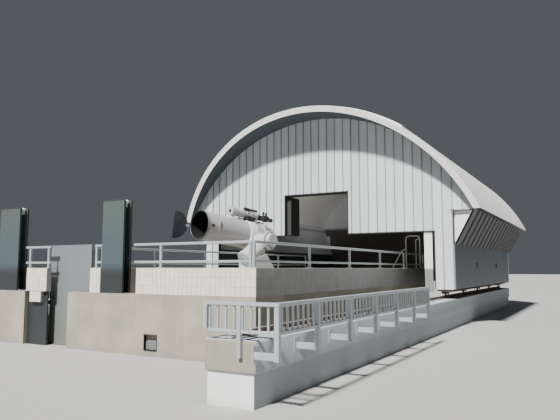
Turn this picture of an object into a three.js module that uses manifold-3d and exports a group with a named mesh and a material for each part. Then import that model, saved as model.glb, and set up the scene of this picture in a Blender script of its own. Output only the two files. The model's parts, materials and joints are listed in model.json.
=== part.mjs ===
import * as THREE from 'three';
import { mergeVertices } from 'three/addons/utils/BufferGeometryUtils.js';
import Module from 'manifold-3d';

// Observatory with a rolling roof: a barrel-vaulted shelter on two rail beams, rolled back from a walled
// platform that carries the telescope. Millimetres, +Z up, ground at z = 0. Inside the site group x = 0 is
// the middle of the vault and y = 0 is the outer face of the front gable with the shelter rolled back.

const wasm = await Module();
wasm.setup();

// Site
const FRONT_END = -9930;
const REAR_END = 10130;
const GAP = 0.3;

// Rail beams, mirrored in x
const BEAM_IN = 3324;
const BEAM_OUT = 4017;
const BEAM_FRONT = -9870;
const BEAM_FRONT_LEFT = -7250 + GAP;
const BEAM_TOP = 750;
const RAIL_X = 3670;
const RAIL_TOP = 830;

// Roof vault
const EAVE_X = 4772;
const EAVE_Z = 3100;
const CROWN_Z = 6214;
const VAULT_THICK = 140;
const ROOF_REAR = REAR_END;
const FRONT_OVERHANG = 180;
const FRONT_RAKE = 0.26;
const FASCIA_DEPTH = 165;
const FASCIA_THICK = 60;
const ARC_STEPS = 44;

// Shelter walls
const WALL_X = 4038;
const WALL = 120;
const KNEE_Z = 2200;
const FLARE_X = 4520;
const SILL_Z = 950;
const WALL_FOOT = 1000;
const GABLE_REAR = 10100;
const DOOR_TOP_X = 1064;
const DOOR_TOP_Z = 3810;
const DOOR_LOW_X = 3550;
const DOOR_LOW_Z = 2570;

// Platform
const PLATFORM_RIGHT = 2555;
const PLATFORM_LEFT = -1800;
const PLATFORM_FRONT = -7500;
const PLATFORM_REAR = 2900;
const PARAPET = 250;
const CONCRETE_TOP = 1090;
const TILE_TOP = 1560;
const FLOOR_TOP = 900;
const FLOOR_THICK = 150;
const GATE_JAMB = -3100;
const GATE_SLOT = 100;
const GATE_SLOT_END = -500;
const FRONT_WALL_LEFT = -4070;
const RAILING_TOP = 2010;

// Telescope
const PIVOT = new THREE.Vector3(717, -4125, 2186);
const NORTH_TURN = THREE.MathUtils.degToRad(15.3);
const LATITUDE = THREE.MathUtils.degToRad(35);
const TUBE_RISE = THREE.MathUtils.degToRad(6.3);
const TUBE_BESIDE = 560;
const TUBE_OVER_PIVOT = 147;
const TUBE_R = 320;
const TUBE_WALL = 12;
const TUBE_FRONT = -1500;
const TUBE_BACK = 200;
const HOUSING_R = 200;
const PIER_TOP = 1550;
const LID_R = 312;
const LID_OPEN = THREE.MathUtils.degToRad(125);
const KNUCKLE = 30;
const EAR = KNUCKLE + GAP + 12;

const finishes = {
  white_paint: new THREE.MeshStandardMaterial({ color: 0xe9ebea, roughness: 0.6 }),
  concrete: new THREE.MeshStandardMaterial({ color: 0xb9b2a2, roughness: 0.9 }),
  tile: new THREE.MeshStandardMaterial({ color: 0xdcd5c6, roughness: 0.5 }),
  rail_steel: new THREE.MeshStandardMaterial({ color: 0x6d6f70, roughness: 0.5, metalness: 0.9 }),
  aluminium: new THREE.MeshStandardMaterial({ color: 0xbfc4c4, roughness: 0.4, metalness: 0.8 }),
  cladding: new THREE.MeshStandardMaterial({ color: 0xc3c8cc, roughness: 0.45, metalness: 0.5 }),
  roof: new THREE.MeshStandardMaterial({ color: 0xd5d9dc, roughness: 0.4, metalness: 0.5 }),
  screen: new THREE.MeshStandardMaterial({ color: 0x8e979b, roughness: 0.4, metalness: 0.6 }),
  tube_white: new THREE.MeshStandardMaterial({ color: 0xe6e6e8, roughness: 0.35 }),
  mount_grey: new THREE.MeshStandardMaterial({ color: 0x6d7478, roughness: 0.45 }),
  black: new THREE.MeshStandardMaterial({ color: 0x16181b, roughness: 0.5 }),
};

// A closed geometry as a solid, and back
function toSolid(geometry) {
  const bare = geometry.index ? geometry.toNonIndexed() : geometry.clone();
  bare.deleteAttribute('normal');
  bare.deleteAttribute('uv');
  const merged = mergeVertices(bare, 1e-4);
  return new wasm.Manifold(new wasm.Mesh({
    numProp: 3,
    vertProperties: new Float32Array(merged.attributes.position.array),
    triVerts: new Uint32Array(merged.index.array),
  }));
}

function toGeometry(solid) {
  const mesh = solid.getMesh();
  const geometry = new THREE.BufferGeometry();
  geometry.setAttribute('position', new THREE.BufferAttribute(mesh.vertProperties, 3));
  geometry.setIndex(new THREE.BufferAttribute(mesh.triVerts, 1));
  return geometry;
}

function union(...geometries) {
  return toGeometry(geometries.map(toSolid).reduce((sum, next) => sum.add(next)));
}

function without(body, ...cutters) {
  return toGeometry(cutters.map(toSolid).reduce((rest, next) => rest.subtract(next), toSolid(body)));
}

function box(x0, x1, y0, y1, z0, z1) {
  const geometry = new THREE.BoxGeometry(x1 - x0, y1 - y0, z1 - z0);
  return geometry.translate((x0 + x1) / 2, (y0 + y1) / 2, (z0 + z1) / 2);
}

// An outline in x and z, carried back from y = y0 by depth
function plate(points, y0, depth) {
  const shape = new THREE.Shape(points.map(([x, z]) => new THREE.Vector2(x, z)));
  const geometry = new THREE.ExtrudeGeometry(shape, { depth, bevelEnabled: false });
  return geometry.rotateX(Math.PI / 2).translate(0, y0 + depth, 0);
}

// An outline in y and z, carried from x = x0 by depth
function sidePlate(points, x0, depth) {
  const shape = new THREE.Shape(points.map(([y, z]) => new THREE.Vector2(y, z)));
  const geometry = new THREE.ExtrudeGeometry(shape, { depth, bevelEnabled: false });
  return geometry.rotateZ(Math.PI / 2).rotateY(Math.PI / 2).translate(x0, 0, 0);
}

// A round bar between two points
function rod(from, to, radius, sides = 8) {
  const start = new THREE.Vector3(...from);
  const along = new THREE.Vector3(...to).sub(start);
  const geometry = new THREE.CylinderGeometry(radius, radius, along.length(), sides);
  const turn = new THREE.Quaternion().setFromUnitVectors(
    new THREE.Vector3(0, 1, 0), along.clone().normalize());
  return geometry.applyQuaternion(turn).translate(...start.addScaledVector(along, 0.5).toArray());
}

// A ring section about the y axis, from y0 to y1
function ring(outer, inner, y0, y1, sides = 32) {
  const profile = [[inner, y0], [outer, y0], [outer, y1], [inner, y1], [inner, y0]];
  return new THREE.LatheGeometry(profile.map(([r, y]) => new THREE.Vector2(r, y)), sides);
}

// A solid of revolution about the y axis from a list of radius and y
function turned(profile, sides = 32) {
  return new THREE.LatheGeometry(profile.map(([r, y]) => new THREE.Vector2(r, y)), sides);
}

function mirrored(geometry) {
  const flipped = geometry.clone().scale(-1, 1, 1);
  const loose = flipped.index ? flipped.toNonIndexed() : flipped;
  const p = loose.attributes.position.array;
  for (let i = 0; i < p.length; i += 9) {
    for (let k = 0; k < 3; k += 1) {
      [p[i + k], p[i + 3 + k]] = [p[i + 3 + k], p[i + k]];
    }
  }
  return loose;
}

const site = new THREE.Group();
site.position.y = -(FRONT_END + REAR_END) / 2;

function piece(name, geometry, finish, parent = site) {
  const mesh = new THREE.Mesh(geometry, finishes[finish]);
  mesh.name = name;
  parent.add(mesh);
  return mesh;
}

function pair(name, geometry, finish) {
  piece(`${name}_right`, geometry, finish);
  piece(`${name}_left`, mirrored(geometry), finish);
}

// Rail beams: a concrete beam down to the ground, with a rail on top, on each side
const RAIL_SETBACK = 150;
const RAIL_FOOT_HALF = 70;
const RAIL_FOOT_HIGH = 20;
const RAIL_HEAD_HALF = 28;

function railBeams() {
  const sides = [['right', 1, BEAM_FRONT], ['left', -1, BEAM_FRONT_LEFT]];
  for (const [side, sign, front] of sides) {
    const [x0, x1] = [sign * BEAM_IN, sign * BEAM_OUT].sort((a, b) => a - b);
    const middle = sign * RAIL_X;
    const [y0, y1] = [front + RAIL_SETBACK, REAR_END - RAIL_SETBACK];
    piece(`rail_beam_${side}`, box(x0, x1, front, REAR_END, 0, BEAM_TOP), 'concrete');
    const foot = box(middle - RAIL_FOOT_HALF, middle + RAIL_FOOT_HALF, y0, y1,
      BEAM_TOP, BEAM_TOP + RAIL_FOOT_HIGH);
    const head = box(middle - RAIL_HEAD_HALF, middle + RAIL_HEAD_HALF, y0, y1, BEAM_TOP + 10, RAIL_TOP);
    piece(`rail_${side}`, union(foot, head), 'rail_steel');
  }
}

// Guard fence on brackets outside a beam, with a return across the beam's front end
const FENCE_X = 4315;
const FENCE_REAR = -3730;
const FENCE_BAYS = 6;
const FENCE_FOOT = 560;
const FENCE_LOW = 830;
const FENCE_TOP = 1180;
const FENCE_POST = 60;
const BRACKET_HIGH = 80;
const BRACKET_WIDE = 50;
const TOP_RAIL_WIDE = 80;
const TOP_RAIL_HIGH = 50;
const LOW_BAR = 40;
const BALUSTER = 24;
const BALUSTERS_IN_BAY = 8;

// A square upright of the fence, centred on x and y
function upright(x, y, size, z0) {
  return box(x - size / 2, x + size / 2, y - size / 2, y + size / 2, z0, FENCE_TOP - 20);
}

function guardFence(side, sign, front, withReturn) {
  const bay = (FENCE_REAR - front) / FENCE_BAYS;
  const bars = [
    box(FENCE_X - TOP_RAIL_WIDE / 2, FENCE_X + TOP_RAIL_WIDE / 2, front, FENCE_REAR,
      FENCE_TOP - TOP_RAIL_HIGH, FENCE_TOP),
    box(FENCE_X - LOW_BAR / 2, FENCE_X + LOW_BAR / 2, front + 20, FENCE_REAR - 20,
      FENCE_LOW, FENCE_LOW + LOW_BAR),
  ];
  for (let i = 0; i <= FENCE_BAYS; i += 1) {
    const y = Math.min(Math.max(front + i * bay, front + FENCE_POST / 2), FENCE_REAR - FENCE_POST / 2);
    bars.push(upright(FENCE_X, y, FENCE_POST, FENCE_FOOT));
    bars.push(box(BEAM_OUT + GAP, FENCE_X, y - BRACKET_WIDE / 2, y + BRACKET_WIDE / 2,
      FENCE_FOOT, FENCE_FOOT + BRACKET_HIGH));
    for (let k = 1; k < BALUSTERS_IN_BAY && i < FENCE_BAYS; k += 1) {
      bars.push(upright(FENCE_X, front + (i + k / BALUSTERS_IN_BAY) * bay, BALUSTER, FENCE_LOW + 20));
    }
  }
  if (withReturn) {
    const inner = BEAM_IN + 20;
    const first = inner + 75;
    bars.push(box(inner, FENCE_X, front, front + TOP_RAIL_WIDE, FENCE_TOP - TOP_RAIL_HIGH, FENCE_TOP));
    bars.push(box(first - 15, FENCE_X, front + 20, front + 55, FENCE_LOW, FENCE_LOW + LOW_BAR));
    for (let k = 0; k < BALUSTERS_IN_BAY; k += 1) {
      const at = first + (k * (FENCE_X - first)) / BALUSTERS_IN_BAY;
      bars.push(upright(at, front + 36, BALUSTER, FENCE_LOW + 20));
    }
    const post = (inner + FENCE_X) / 2;
    bars.push(box(post - BRACKET_WIDE / 2, post + BRACKET_WIDE / 2, front + 5, BEAM_FRONT - GAP,
      FENCE_FOOT, FENCE_TOP - 20));
  }
  const fence = union(...bars);
  piece(`guard_fence_${side}`, sign > 0 ? fence : mirrored(fence), 'aluminium');
}

// Platform: concrete walls with a tiled band on top, and a raised floor
const NOTCH_LEFT = -930;
const NOTCH_RIGHT = -20;
const PIER_LEFT = -1205;

// Tiled pier left of the gateway, on a box that hangs before a metal side panel
const SIDE_PIER_LEFT = -3070;
const SIDE_PIER_RIGHT = -2450;
const SIDE_PIER_DEEP = 120;
const SIDE_BOX_LEFT = -2950;
const SIDE_BOX_RIGHT = -2610;
const SIDE_BOX_FOOT = 870;
const SIDE_PANEL_RIGHT = -2500;
const SIDE_PANEL_FRONT = PLATFORM_FRONT + 85;
const SIDE_PANEL_THICK = 30;

function platform() {
  const back = PLATFORM_FRONT + PARAPET;
  const rightIn = PLATFORM_RIGHT - PARAPET;
  const leftIn = PLATFORM_LEFT + PARAPET;
  const rearIn = PLATFORM_REAR - PARAPET;
  piece('front_wall', box(PLATFORM_LEFT, PLATFORM_RIGHT, PLATFORM_FRONT, back, 0, CONCRETE_TOP), 'concrete');
  piece('front_wall_beside_gate',
    box(FRONT_WALL_LEFT, GATE_JAMB, PLATFORM_FRONT, back, 0, CONCRETE_TOP), 'concrete');
  piece('side_wall_right', box(rightIn, PLATFORM_RIGHT, back, rearIn, 0, CONCRETE_TOP), 'concrete');
  const slotted = back + GATE_SLOT;
  piece('side_wall_left', box(PLATFORM_LEFT, leftIn, slotted, rearIn, 0, CONCRETE_TOP), 'concrete');
  piece('rear_wall', box(PLATFORM_LEFT, PLATFORM_RIGHT, rearIn, PLATFORM_REAR, 0, CONCRETE_TOP), 'concrete');
  piece('tile_band_front',
    box(NOTCH_RIGHT, PLATFORM_RIGHT, PLATFORM_FRONT, back, CONCRETE_TOP, TILE_TOP), 'tile');
  piece('tile_pier', box(PIER_LEFT, NOTCH_LEFT, PLATFORM_FRONT, back, CONCRETE_TOP, TILE_TOP), 'tile');
  piece('tile_pier_left', union(
    box(SIDE_PIER_LEFT, SIDE_PIER_RIGHT, PLATFORM_FRONT, PLATFORM_FRONT + SIDE_PIER_DEEP,
      CONCRETE_TOP, TILE_TOP),
    box(SIDE_BOX_LEFT, SIDE_BOX_RIGHT, PLATFORM_FRONT, SIDE_PANEL_FRONT - GAP,
      SIDE_BOX_FOOT, CONCRETE_TOP + 10),
  ), 'tile');
  piece('side_panel', box(GATE_JAMB + GAP, SIDE_PANEL_RIGHT,
    SIDE_PANEL_FRONT, SIDE_PANEL_FRONT + SIDE_PANEL_THICK, 0, CONCRETE_TOP), 'screen');
  piece('tile_band_right', box(rightIn, PLATFORM_RIGHT, back, rearIn, CONCRETE_TOP, TILE_TOP), 'tile');
  piece('tile_band_left', box(PLATFORM_LEFT, leftIn, slotted, rearIn, CONCRETE_TOP, TILE_TOP), 'tile');
  piece('tile_band_rear',
    box(PLATFORM_LEFT, PLATFORM_RIGHT, rearIn, PLATFORM_REAR, CONCRETE_TOP, TILE_TOP), 'tile');
  piece('platform_floor', union(
    box(leftIn, rightIn, slotted, rearIn, FLOOR_TOP - FLOOR_THICK, FLOOR_TOP),
    box(GATE_SLOT_END, rightIn, back, slotted + 10, FLOOR_TOP - FLOOR_THICK, FLOOR_TOP),
  ), 'concrete');
}

// Railings on the tiled band: flat top rail, bottom rail and posts
const POST = 50;
const RAIL_INSET = 90;
const LOW_RAIL = 90;
const MIDDLE_POST = 490;
const FRONT_RAIL_LEFT = -150;

function railing(name, x0, x1, y0, y1, posts) {
  const alongY = y1 - y0 > x1 - x0;
  const slim = 12;
  const low = TILE_TOP + LOW_RAIL;
  const bars = [
    box(x0, x1, y0, y1, RAILING_TOP - 50, RAILING_TOP),
    alongY ? box(x0 + slim, x1 - slim, y0 + 5, y1 - 5, low, low + 40)
      : box(x0 + 5, x1 - 5, y0 + slim, y1 - slim, low, low + 40),
  ];
  for (const at of posts) {
    const cx = alongY ? (x0 + x1) / 2 : at;
    const cy = alongY ? at : (y0 + y1) / 2;
    bars.push(box(cx - POST / 2, cx + POST / 2, cy - POST / 2, cy + POST / 2, TILE_TOP, RAILING_TOP - 20));
  }
  piece(name, union(...bars), 'aluminium');
}

// Evenly spaced places from one end to the other
function spaced(from, to, bays) {
  return Array.from({ length: bays + 1 }, (_, i) => from + ((to - from) * i) / bays);
}

function railings() {
  const wide = 35;
  const end = POST / 2 + 5;
  const right = PLATFORM_RIGHT - RAIL_INSET;
  const left = PLATFORM_LEFT + RAIL_INSET;
  const front = PLATFORM_FRONT + RAIL_INSET;
  const rear = PLATFORM_REAR - 160;
  const leftFront = PLATFORM_FRONT + PARAPET + GATE_SLOT + 30;
  railing('railing_front', FRONT_RAIL_LEFT, right - wide - GAP, front - wide, front + wide,
    [MIDDLE_POST, right - wide - GAP - end]);
  railing('railing_pier', PIER_LEFT + 45, NOTCH_LEFT - 10, front - wide, front + wide,
    [PIER_LEFT + 75, NOTCH_LEFT - 40]);
  const sideMiddle = PLATFORM_FRONT + SIDE_PIER_DEEP / 2;
  railing('railing_side_pier', SIDE_PIER_LEFT - 100, SIDE_PIER_RIGHT + 50,
    sideMiddle - wide, sideMiddle + wide, [SIDE_PIER_LEFT + POST / 2, SIDE_PIER_RIGHT - POST / 2]);
  railing('railing_right', right - wide, right + wide, front - wide, rear,
    spaced(front - wide + end, rear - end, 5));
  railing('railing_left', left - wide, left + wide, leftFront, rear,
    spaced(leftFront + end, rear - end, 5));
}

// Hoop at the head of the rear steps, white pipe, with a post inside it and a handrail that bends down the steps
const HOOP_TOP = 2610;
const HOOP_LEFT = 1910;
const HOOP_RIGHT = 2360;
const HOOP_PIPE = 22;
const HOOP_BEND = 90;
const INNER_POST = HOOP_LEFT + 320;
const INNER_TOP = 2470;
const HANDRAIL_PIPE = 17;
const HANDRAIL_HIGH = 2190;
const HANDRAIL_BEND = 150;
const HANDRAIL_REACH = 470;

function stairHoop() {
  const y = PLATFORM_REAR - 125;
  const foot = TILE_TOP + GAP;
  const shoulder = HOOP_TOP - HOOP_BEND;
  const bend = [HOOP_LEFT - HANDRAIL_BEND, y, HANDRAIL_HIGH - 80];
  const railEnd = [HOOP_LEFT - HANDRAIL_REACH, y, foot + HANDRAIL_PIPE];
  const bars = [
    rod([HOOP_LEFT, y, foot], [HOOP_LEFT, y, shoulder], HOOP_PIPE),
    rod([HOOP_RIGHT, y, foot], [HOOP_RIGHT, y, shoulder], HOOP_PIPE),
    rod([HOOP_LEFT, y, shoulder - 8], [HOOP_LEFT + HOOP_BEND, y, HOOP_TOP - 8], HOOP_PIPE),
    rod([HOOP_RIGHT, y, shoulder - 8], [HOOP_RIGHT - HOOP_BEND, y, HOOP_TOP - 8], HOOP_PIPE),
    rod([HOOP_LEFT + HOOP_BEND - 12, y, HOOP_TOP - 12], [HOOP_RIGHT - HOOP_BEND + 12, y, HOOP_TOP - 12],
      HOOP_PIPE),
    rod([INNER_POST, y, foot], [INNER_POST, y, INNER_TOP], HANDRAIL_PIPE),
    rod([INNER_POST - 4, y, INNER_TOP - 8], [HOOP_RIGHT, y, INNER_TOP + 30], HANDRAIL_PIPE),
    rod([HOOP_LEFT, y, HANDRAIL_HIGH], bend, HANDRAIL_PIPE),
    rod([bend[0] + 6, y, bend[2] + 6], railEnd, HANDRAIL_PIPE),
  ];
  piece('stair_hoop', union(...bars), 'white_paint');
}

// Folding screens: two leaves folded against each other on the front wall
const SCREEN_TOP = 2860;
const SCREEN_LEAF = 50;
const SCREEN_SPREAD = 180;

function foldedScreen(name, x0, x1) {
  const y = PLATFORM_FRONT + 8;
  const behind = y + SCREEN_SPREAD;
  const foot = CONCRETE_TOP;
  const leaves = [
    box(x0, x1, y, y + SCREEN_LEAF, foot, SCREEN_TOP),
    box(x0, x1, behind, behind + SCREEN_LEAF, foot + 15, SCREEN_TOP - 15),
    box(x0, x0 + 40, y + 20, behind + 30, foot + 20, SCREEN_TOP - 40),
  ];
  piece(name, union(...leaves), 'screen');
}

// Sliding gate behind the gap in the front wall
const GATE_X = -2680;
const GATE_WIDE = 1200;
const GATE_THICK = 50;
const GATE_FOOT = 20;
const GATE_TOP = 2030;

function gate() {
  const y = PLATFORM_FRONT + PARAPET + (GATE_SLOT - GATE_THICK) / 2;
  piece('gate_leaf', box(GATE_X, GATE_X + GATE_WIDE, y, y + GATE_THICK, GATE_FOOT, GATE_TOP), 'screen');
  piece('gate_track',
    box(GATE_JAMB - 120, GATE_SLOT_END, PLATFORM_FRONT + PARAPET, y + GATE_THICK - 10, 0, GATE_FOOT - GAP),
    'rail_steel');
}

// Vault geometry: radius and centre height of the outer arc from the eave and the crown
const RISE = CROWN_Z - EAVE_Z;
const VAULT_R = (EAVE_X ** 2 + RISE ** 2) / (2 * RISE);
const VAULT_Z = CROWN_Z - VAULT_R;

function arcPoints(radius, x0, x1, steps) {
  const points = [];
  const a0 = Math.acos(x0 / radius);
  const a1 = Math.acos(x1 / radius);
  for (let i = 0; i <= steps; i += 1) {
    const a = a0 + ((a1 - a0) * i) / steps;
    points.push([radius * Math.cos(a), VAULT_Z + radius * Math.sin(a)]);
  }
  return points;
}

// Half width of an arc where it meets a level
function halfWidth(radius, z) {
  return Math.sqrt(radius ** 2 - (z - VAULT_Z) ** 2);
}

function archBand(outer, inner, y0, y1) {
  const wide = halfWidth(outer, EAVE_Z);
  const narrow = halfWidth(inner, EAVE_Z);
  const band = plate([
    ...arcPoints(outer, wide, -wide, ARC_STEPS),
    ...arcPoints(inner, -narrow, narrow, ARC_STEPS),
  ], y0, y1 - y0);
  return band;
}

// The front edge leans forward as it rises
function raked(geometry, frontY, backY) {
  const p = geometry.attributes.position;
  for (let i = 0; i < p.count; i += 1) {
    const y = p.getY(i);
    if (Math.abs(y - frontY) < 1 || Math.abs(y - backY) < 1) {
      p.setY(i, y - FRONT_RAKE * (p.getZ(i) - EAVE_Z));
    }
  }
  return geometry;
}

const SOFFIT_R = VAULT_R - VAULT_THICK;

function roof() {
  const edge = -FRONT_OVERHANG;
  const seam = edge + FASCIA_THICK;
  const front = seam + GAP;
  piece('roof_vault', raked(archBand(VAULT_R, SOFFIT_R, front, ROOF_REAR), front, front), 'roof');
  piece('front_fascia', raked(archBand(VAULT_R, VAULT_R - FASCIA_DEPTH, edge, seam), edge, seam), 'roof');
}

// Raised cap over the crown, on the same chords as the vault and set back from the fascia
const RIDGE_HALF = 3000;
const RIDGE_HIGH = 60;
const RIDGE_BACK = 300;

function ridgeCap() {
  const wide = halfWidth(VAULT_R, EAVE_Z);
  const crown = arcPoints(VAULT_R, wide, -wide, ARC_STEPS).filter(([x]) => Math.abs(x) <= RIDGE_HALF);
  const lifted = (by) => crown.map(([x, z]) => {
    const grow = 1 + by / VAULT_R;
    return [x * grow, VAULT_Z + (z - VAULT_Z) * grow];
  });
  const front = -FRONT_OVERHANG + RIDGE_BACK;
  const strip = plate([...lifted(RIDGE_HIGH), ...lifted(GAP).reverse()], front, ROOF_REAR - front);
  piece('ridge_cap', raked(strip, front, front), 'roof');
}

// The vault's underside as a chain of chords, a hair inside it, for the walls that stand up to it
const soffitLine = arcPoints(SOFFIT_R, halfWidth(SOFFIT_R, EAVE_Z), -halfWidth(SOFFIT_R, EAVE_Z), ARC_STEPS)
  .map(([x, z]) => {
    const shrink = 1 - GAP / SOFFIT_R;
    return [x * shrink, VAULT_Z + (z - VAULT_Z) * shrink];
  });

// Where the chain passes a given x, as a point
function onSoffit(x) {
  const i = soffitLine.findIndex((point) => point[0] <= x);
  const [before, after] = [soffitLine[i - 1], soffitLine[i]];
  const t = (x - before[0]) / (after[0] - before[0]);
  return [x, before[1] + t * (after[1] - before[1])];
}

// The chain from x0 down to x1, ends included
function soffitBetween(x0, x1) {
  const inside = soffitLine.filter((point) => point[0] < x0 - 1 && point[0] > x1 + 1);
  return [onSoffit(x0), ...inside, onSoffit(x1)];
}

// The half width of the walls at the eave, on the first chord
const [chordStart, chordEnd] = soffitLine;
const GABLE_EAVE = chordStart[0]
  + ((EAVE_Z - chordStart[1]) / (chordEnd[1] - chordStart[1])) * (chordEnd[0] - chordStart[0]);

function gable() {
  piece('gable_over_door', plate([
    [-DOOR_TOP_X, DOOR_TOP_Z],
    [DOOR_TOP_X, DOOR_TOP_Z],
    ...soffitBetween(DOOR_TOP_X, -DOOR_TOP_X),
  ], 0, WALL), 'cladding');
  pair('gable', plate([
    [DOOR_TOP_X, DOOR_LOW_Z],
    [DOOR_LOW_X, DOOR_LOW_Z],
    [DOOR_LOW_X, WALL_FOOT],
    [WALL_X, WALL_FOOT],
    [WALL_X, EAVE_Z],
    ...soffitBetween(GABLE_EAVE, DOOR_TOP_X),
  ], 0, WALL), 'cladding');
  piece('rear_gable', plate([
    [-WALL_X, WALL_FOOT],
    [WALL_X, WALL_FOOT],
    [WALL_X, EAVE_Z],
    ...soffitBetween(GABLE_EAVE, -GABLE_EAVE),
    [-WALL_X, EAVE_Z],
  ], GABLE_REAR - WALL, WALL), 'cladding');
}

// Side walls, upright to the knee and then leaning out to the eave. A recessed plate closes each front corner
const FLARE_INNER_X = 4380;
const GUSSET_SETBACK = 95;

function sideWalls() {
  const inner = WALL_X - WALL;
  const y0 = WALL;
  const deep = GABLE_REAR - WALL - WALL;
  pair('shelter_wall', box(inner, WALL_X, y0, y0 + deep, WALL_FOOT, KNEE_Z), 'cladding');
  pair('flared_wall', plate([
    [inner, KNEE_Z + GAP],
    [WALL_X, KNEE_Z + GAP],
    [FLARE_X, EAVE_Z],
    ...soffitBetween(GABLE_EAVE, FLARE_INNER_X),
  ], y0, deep), 'cladding');
  pair('corner_gusset', plate([
    [WALL_X + GAP, KNEE_Z + 2],
    [FLARE_X, EAVE_Z - GAP],
    [WALL_X + GAP, EAVE_Z - GAP],
  ], GUSSET_SETBACK, WALL - GUSSET_SETBACK - GAP), 'white_paint');
}

// Sill girders with wheels on the rails
const WHEEL_R = 55;
const WHEEL_HALF = 24;
const WHEELS = 5;
const FIRST_WHEEL = 500;
const TRUCK_SETBACK = 250;
const TRUCK_HALF = 60;
const TRUCK_DEPTH = 55;

function runningGear() {
  const bars = [
    box(DOOR_LOW_X + 20, WALL_X - 30, 0, GABLE_REAR, SILL_Z, WALL_FOOT),
    box(RAIL_X - TRUCK_HALF, RAIL_X + TRUCK_HALF, TRUCK_SETBACK, GABLE_REAR - TRUCK_SETBACK,
      SILL_Z - TRUCK_DEPTH, SILL_Z + 10),
  ];
  const hub = RAIL_TOP + GAP + WHEEL_R;
  for (const y of spaced(FIRST_WHEEL, GABLE_REAR - FIRST_WHEEL, WHEELS - 1)) {
    bars.push(rod([RAIL_X - WHEEL_HALF, y, hub], [RAIL_X + WHEEL_HALF, y, hub], WHEEL_R, 16));
  }
  pair('sill_girder', union(...bars), 'rail_steel');
}

// Door track across the upper opening, with the door folded at its left end, and a narrow white leaf at the right
const TRACK_HALF_HIGH = 60;
const TRACK_PAST_OPENING = 200;
const LEAVES = 3;
const LEAF_THICK = 35;
const LEAF_PITCH = 60;
const LEAF_DEEP = 555;
const END_LEAF_LEFT = 3245;
const END_LEAF_WIDE = 220;

function doorway() {
  const y0 = WALL + GAP;
  const half = DOOR_TOP_X + TRACK_PAST_OPENING;
  piece('door_track',
    box(-half, half, y0, y0 + 60, DOOR_TOP_Z - TRACK_HALF_HIGH, DOOR_TOP_Z + TRACK_HALF_HIGH), 'rail_steel');
  const first = -DOOR_TOP_X + 10;
  const top = DOOR_TOP_Z - TRACK_HALF_HIGH - GAP;
  const last = first + LEAF_PITCH * (LEAVES - 1) + LEAF_THICK;
  const leaves = [box(first, last, y0 + 5, y0 + 45, DOOR_LOW_Z + 20, top - 30)];
  for (let i = 0; i < LEAVES; i += 1) {
    const x = first + i * LEAF_PITCH;
    leaves.push(box(x, x + LEAF_THICK, y0 + 5, y0 + 5 + LEAF_DEEP, DOOR_LOW_Z, top));
  }
  piece('folded_door', union(...leaves), 'screen');
  piece('door_end_leaf', box(END_LEAF_LEFT, END_LEAF_LEFT + END_LEAF_WIDE, 30, 30 + LEAF_THICK,
    WALL_FOOT - 80, DOOR_LOW_Z - GAP), 'white_paint');
}

// Telescope mount: a pier with a cradle for the polar housing, and the head that turns on the polar axis. It is
// built round its pivot, and its north lies to the right of the building's long axis.
const mount = new THREE.Group();
mount.position.copy(PIVOT);
mount.rotation.z = -NORTH_TURN;
site.add(mount);

const polarAxis = new THREE.Vector3(0, Math.cos(LATITUDE), Math.sin(LATITUDE));
const PIER_HALF = 205;
const PIER_BEHIND = 130;
const PIER_BEFORE = 640;
const BASE_SPREAD = 70;
const BASE_THICK = 60;
const CRADLE_BACK_Z = 1876;
const CRADLE_FRONT_Z = 1722;
const HOUSING_FOOT = -800;
const HOUSING_HEAD = -260;
const CROSS_R = 170;
const CROSS_LEFT = -190;
const CROSS_RIGHT = 105;
const WEIGHT_R = 220;
const WEIGHT_THICK = 60;
const WEIGHT_HUB_R = 150;
const WEIGHT_HUB_END = 250;
const NECK_R = 100;

function alongPolar(profile, sides = 32) {
  const turn = new THREE.Quaternion().setFromUnitVectors(new THREE.Vector3(0, 1, 0), polarAxis);
  return turned(profile, sides).applyQuaternion(turn);
}

function mountFixed() {
  const back = PIER_BEHIND;
  const front = -PIER_BEFORE;
  const shoulder = HOUSING_R - 30;
  const level = (z) => z - PIVOT.z;
  piece('polar_housing', alongPolar([
    [0, HOUSING_FOOT], [shoulder, HOUSING_FOOT], [HOUSING_R, HOUSING_FOOT + 30],
    [HOUSING_R, HOUSING_HEAD - 30], [shoulder, HOUSING_HEAD - GAP], [0, HOUSING_HEAD - GAP],
  ]), 'mount_grey', mount);
  const hollow = alongPolar([
    [0, HOUSING_FOOT - 400], [HOUSING_R + GAP, HOUSING_FOOT - 400],
    [HOUSING_R + GAP, HOUSING_HEAD + 200], [0, HOUSING_HEAD + 200],
  ]);
  const cradle = sidePlate([
    [front + 20, level(PIER_TOP)], [back - 40, level(PIER_TOP)], [back - 290, level(CRADLE_BACK_Z)],
    [front + 20, level(CRADLE_FRONT_Z)],
  ], -PIER_HALF, 2 * PIER_HALF);
  piece('telescope_pier', union(
    box(-PIER_HALF, PIER_HALF, front, back, level(FLOOR_TOP), level(PIER_TOP) + 5),
    box(-PIER_HALF - 3, PIER_HALF + BASE_SPREAD, front - BASE_SPREAD, back + BASE_SPREAD,
      level(FLOOR_TOP), level(FLOOR_TOP) + BASE_THICK),
    without(cradle, hollow),
  ), 'mount_grey', mount);
}

function mountHead() {
  const neck = HOUSING_R - 25;
  const flangeEnd = CROSS_RIGHT + WEIGHT_THICK;
  piece('declination_housing', union(
    alongPolar([
      [0, HOUSING_HEAD], [neck, HOUSING_HEAD], [neck, -WEIGHT_R - 15], [NECK_R, -WEIGHT_R - 10], [NECK_R, 0],
      [0, 0],
    ]),
    rod([CROSS_LEFT, 0, 0], [CROSS_RIGHT, 0, 0], CROSS_R, 32),
  ), 'mount_grey', mount);
  piece('counterweight', union(
    rod([CROSS_RIGHT + GAP, 0, 0], [flangeEnd, 0, 0], WEIGHT_R, 40),
    rod([flangeEnd - 5, 0, 0], [WEIGHT_HUB_END, 0, 0], WEIGHT_HUB_R, 32),
  ), 'mount_grey', mount);
}

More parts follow.
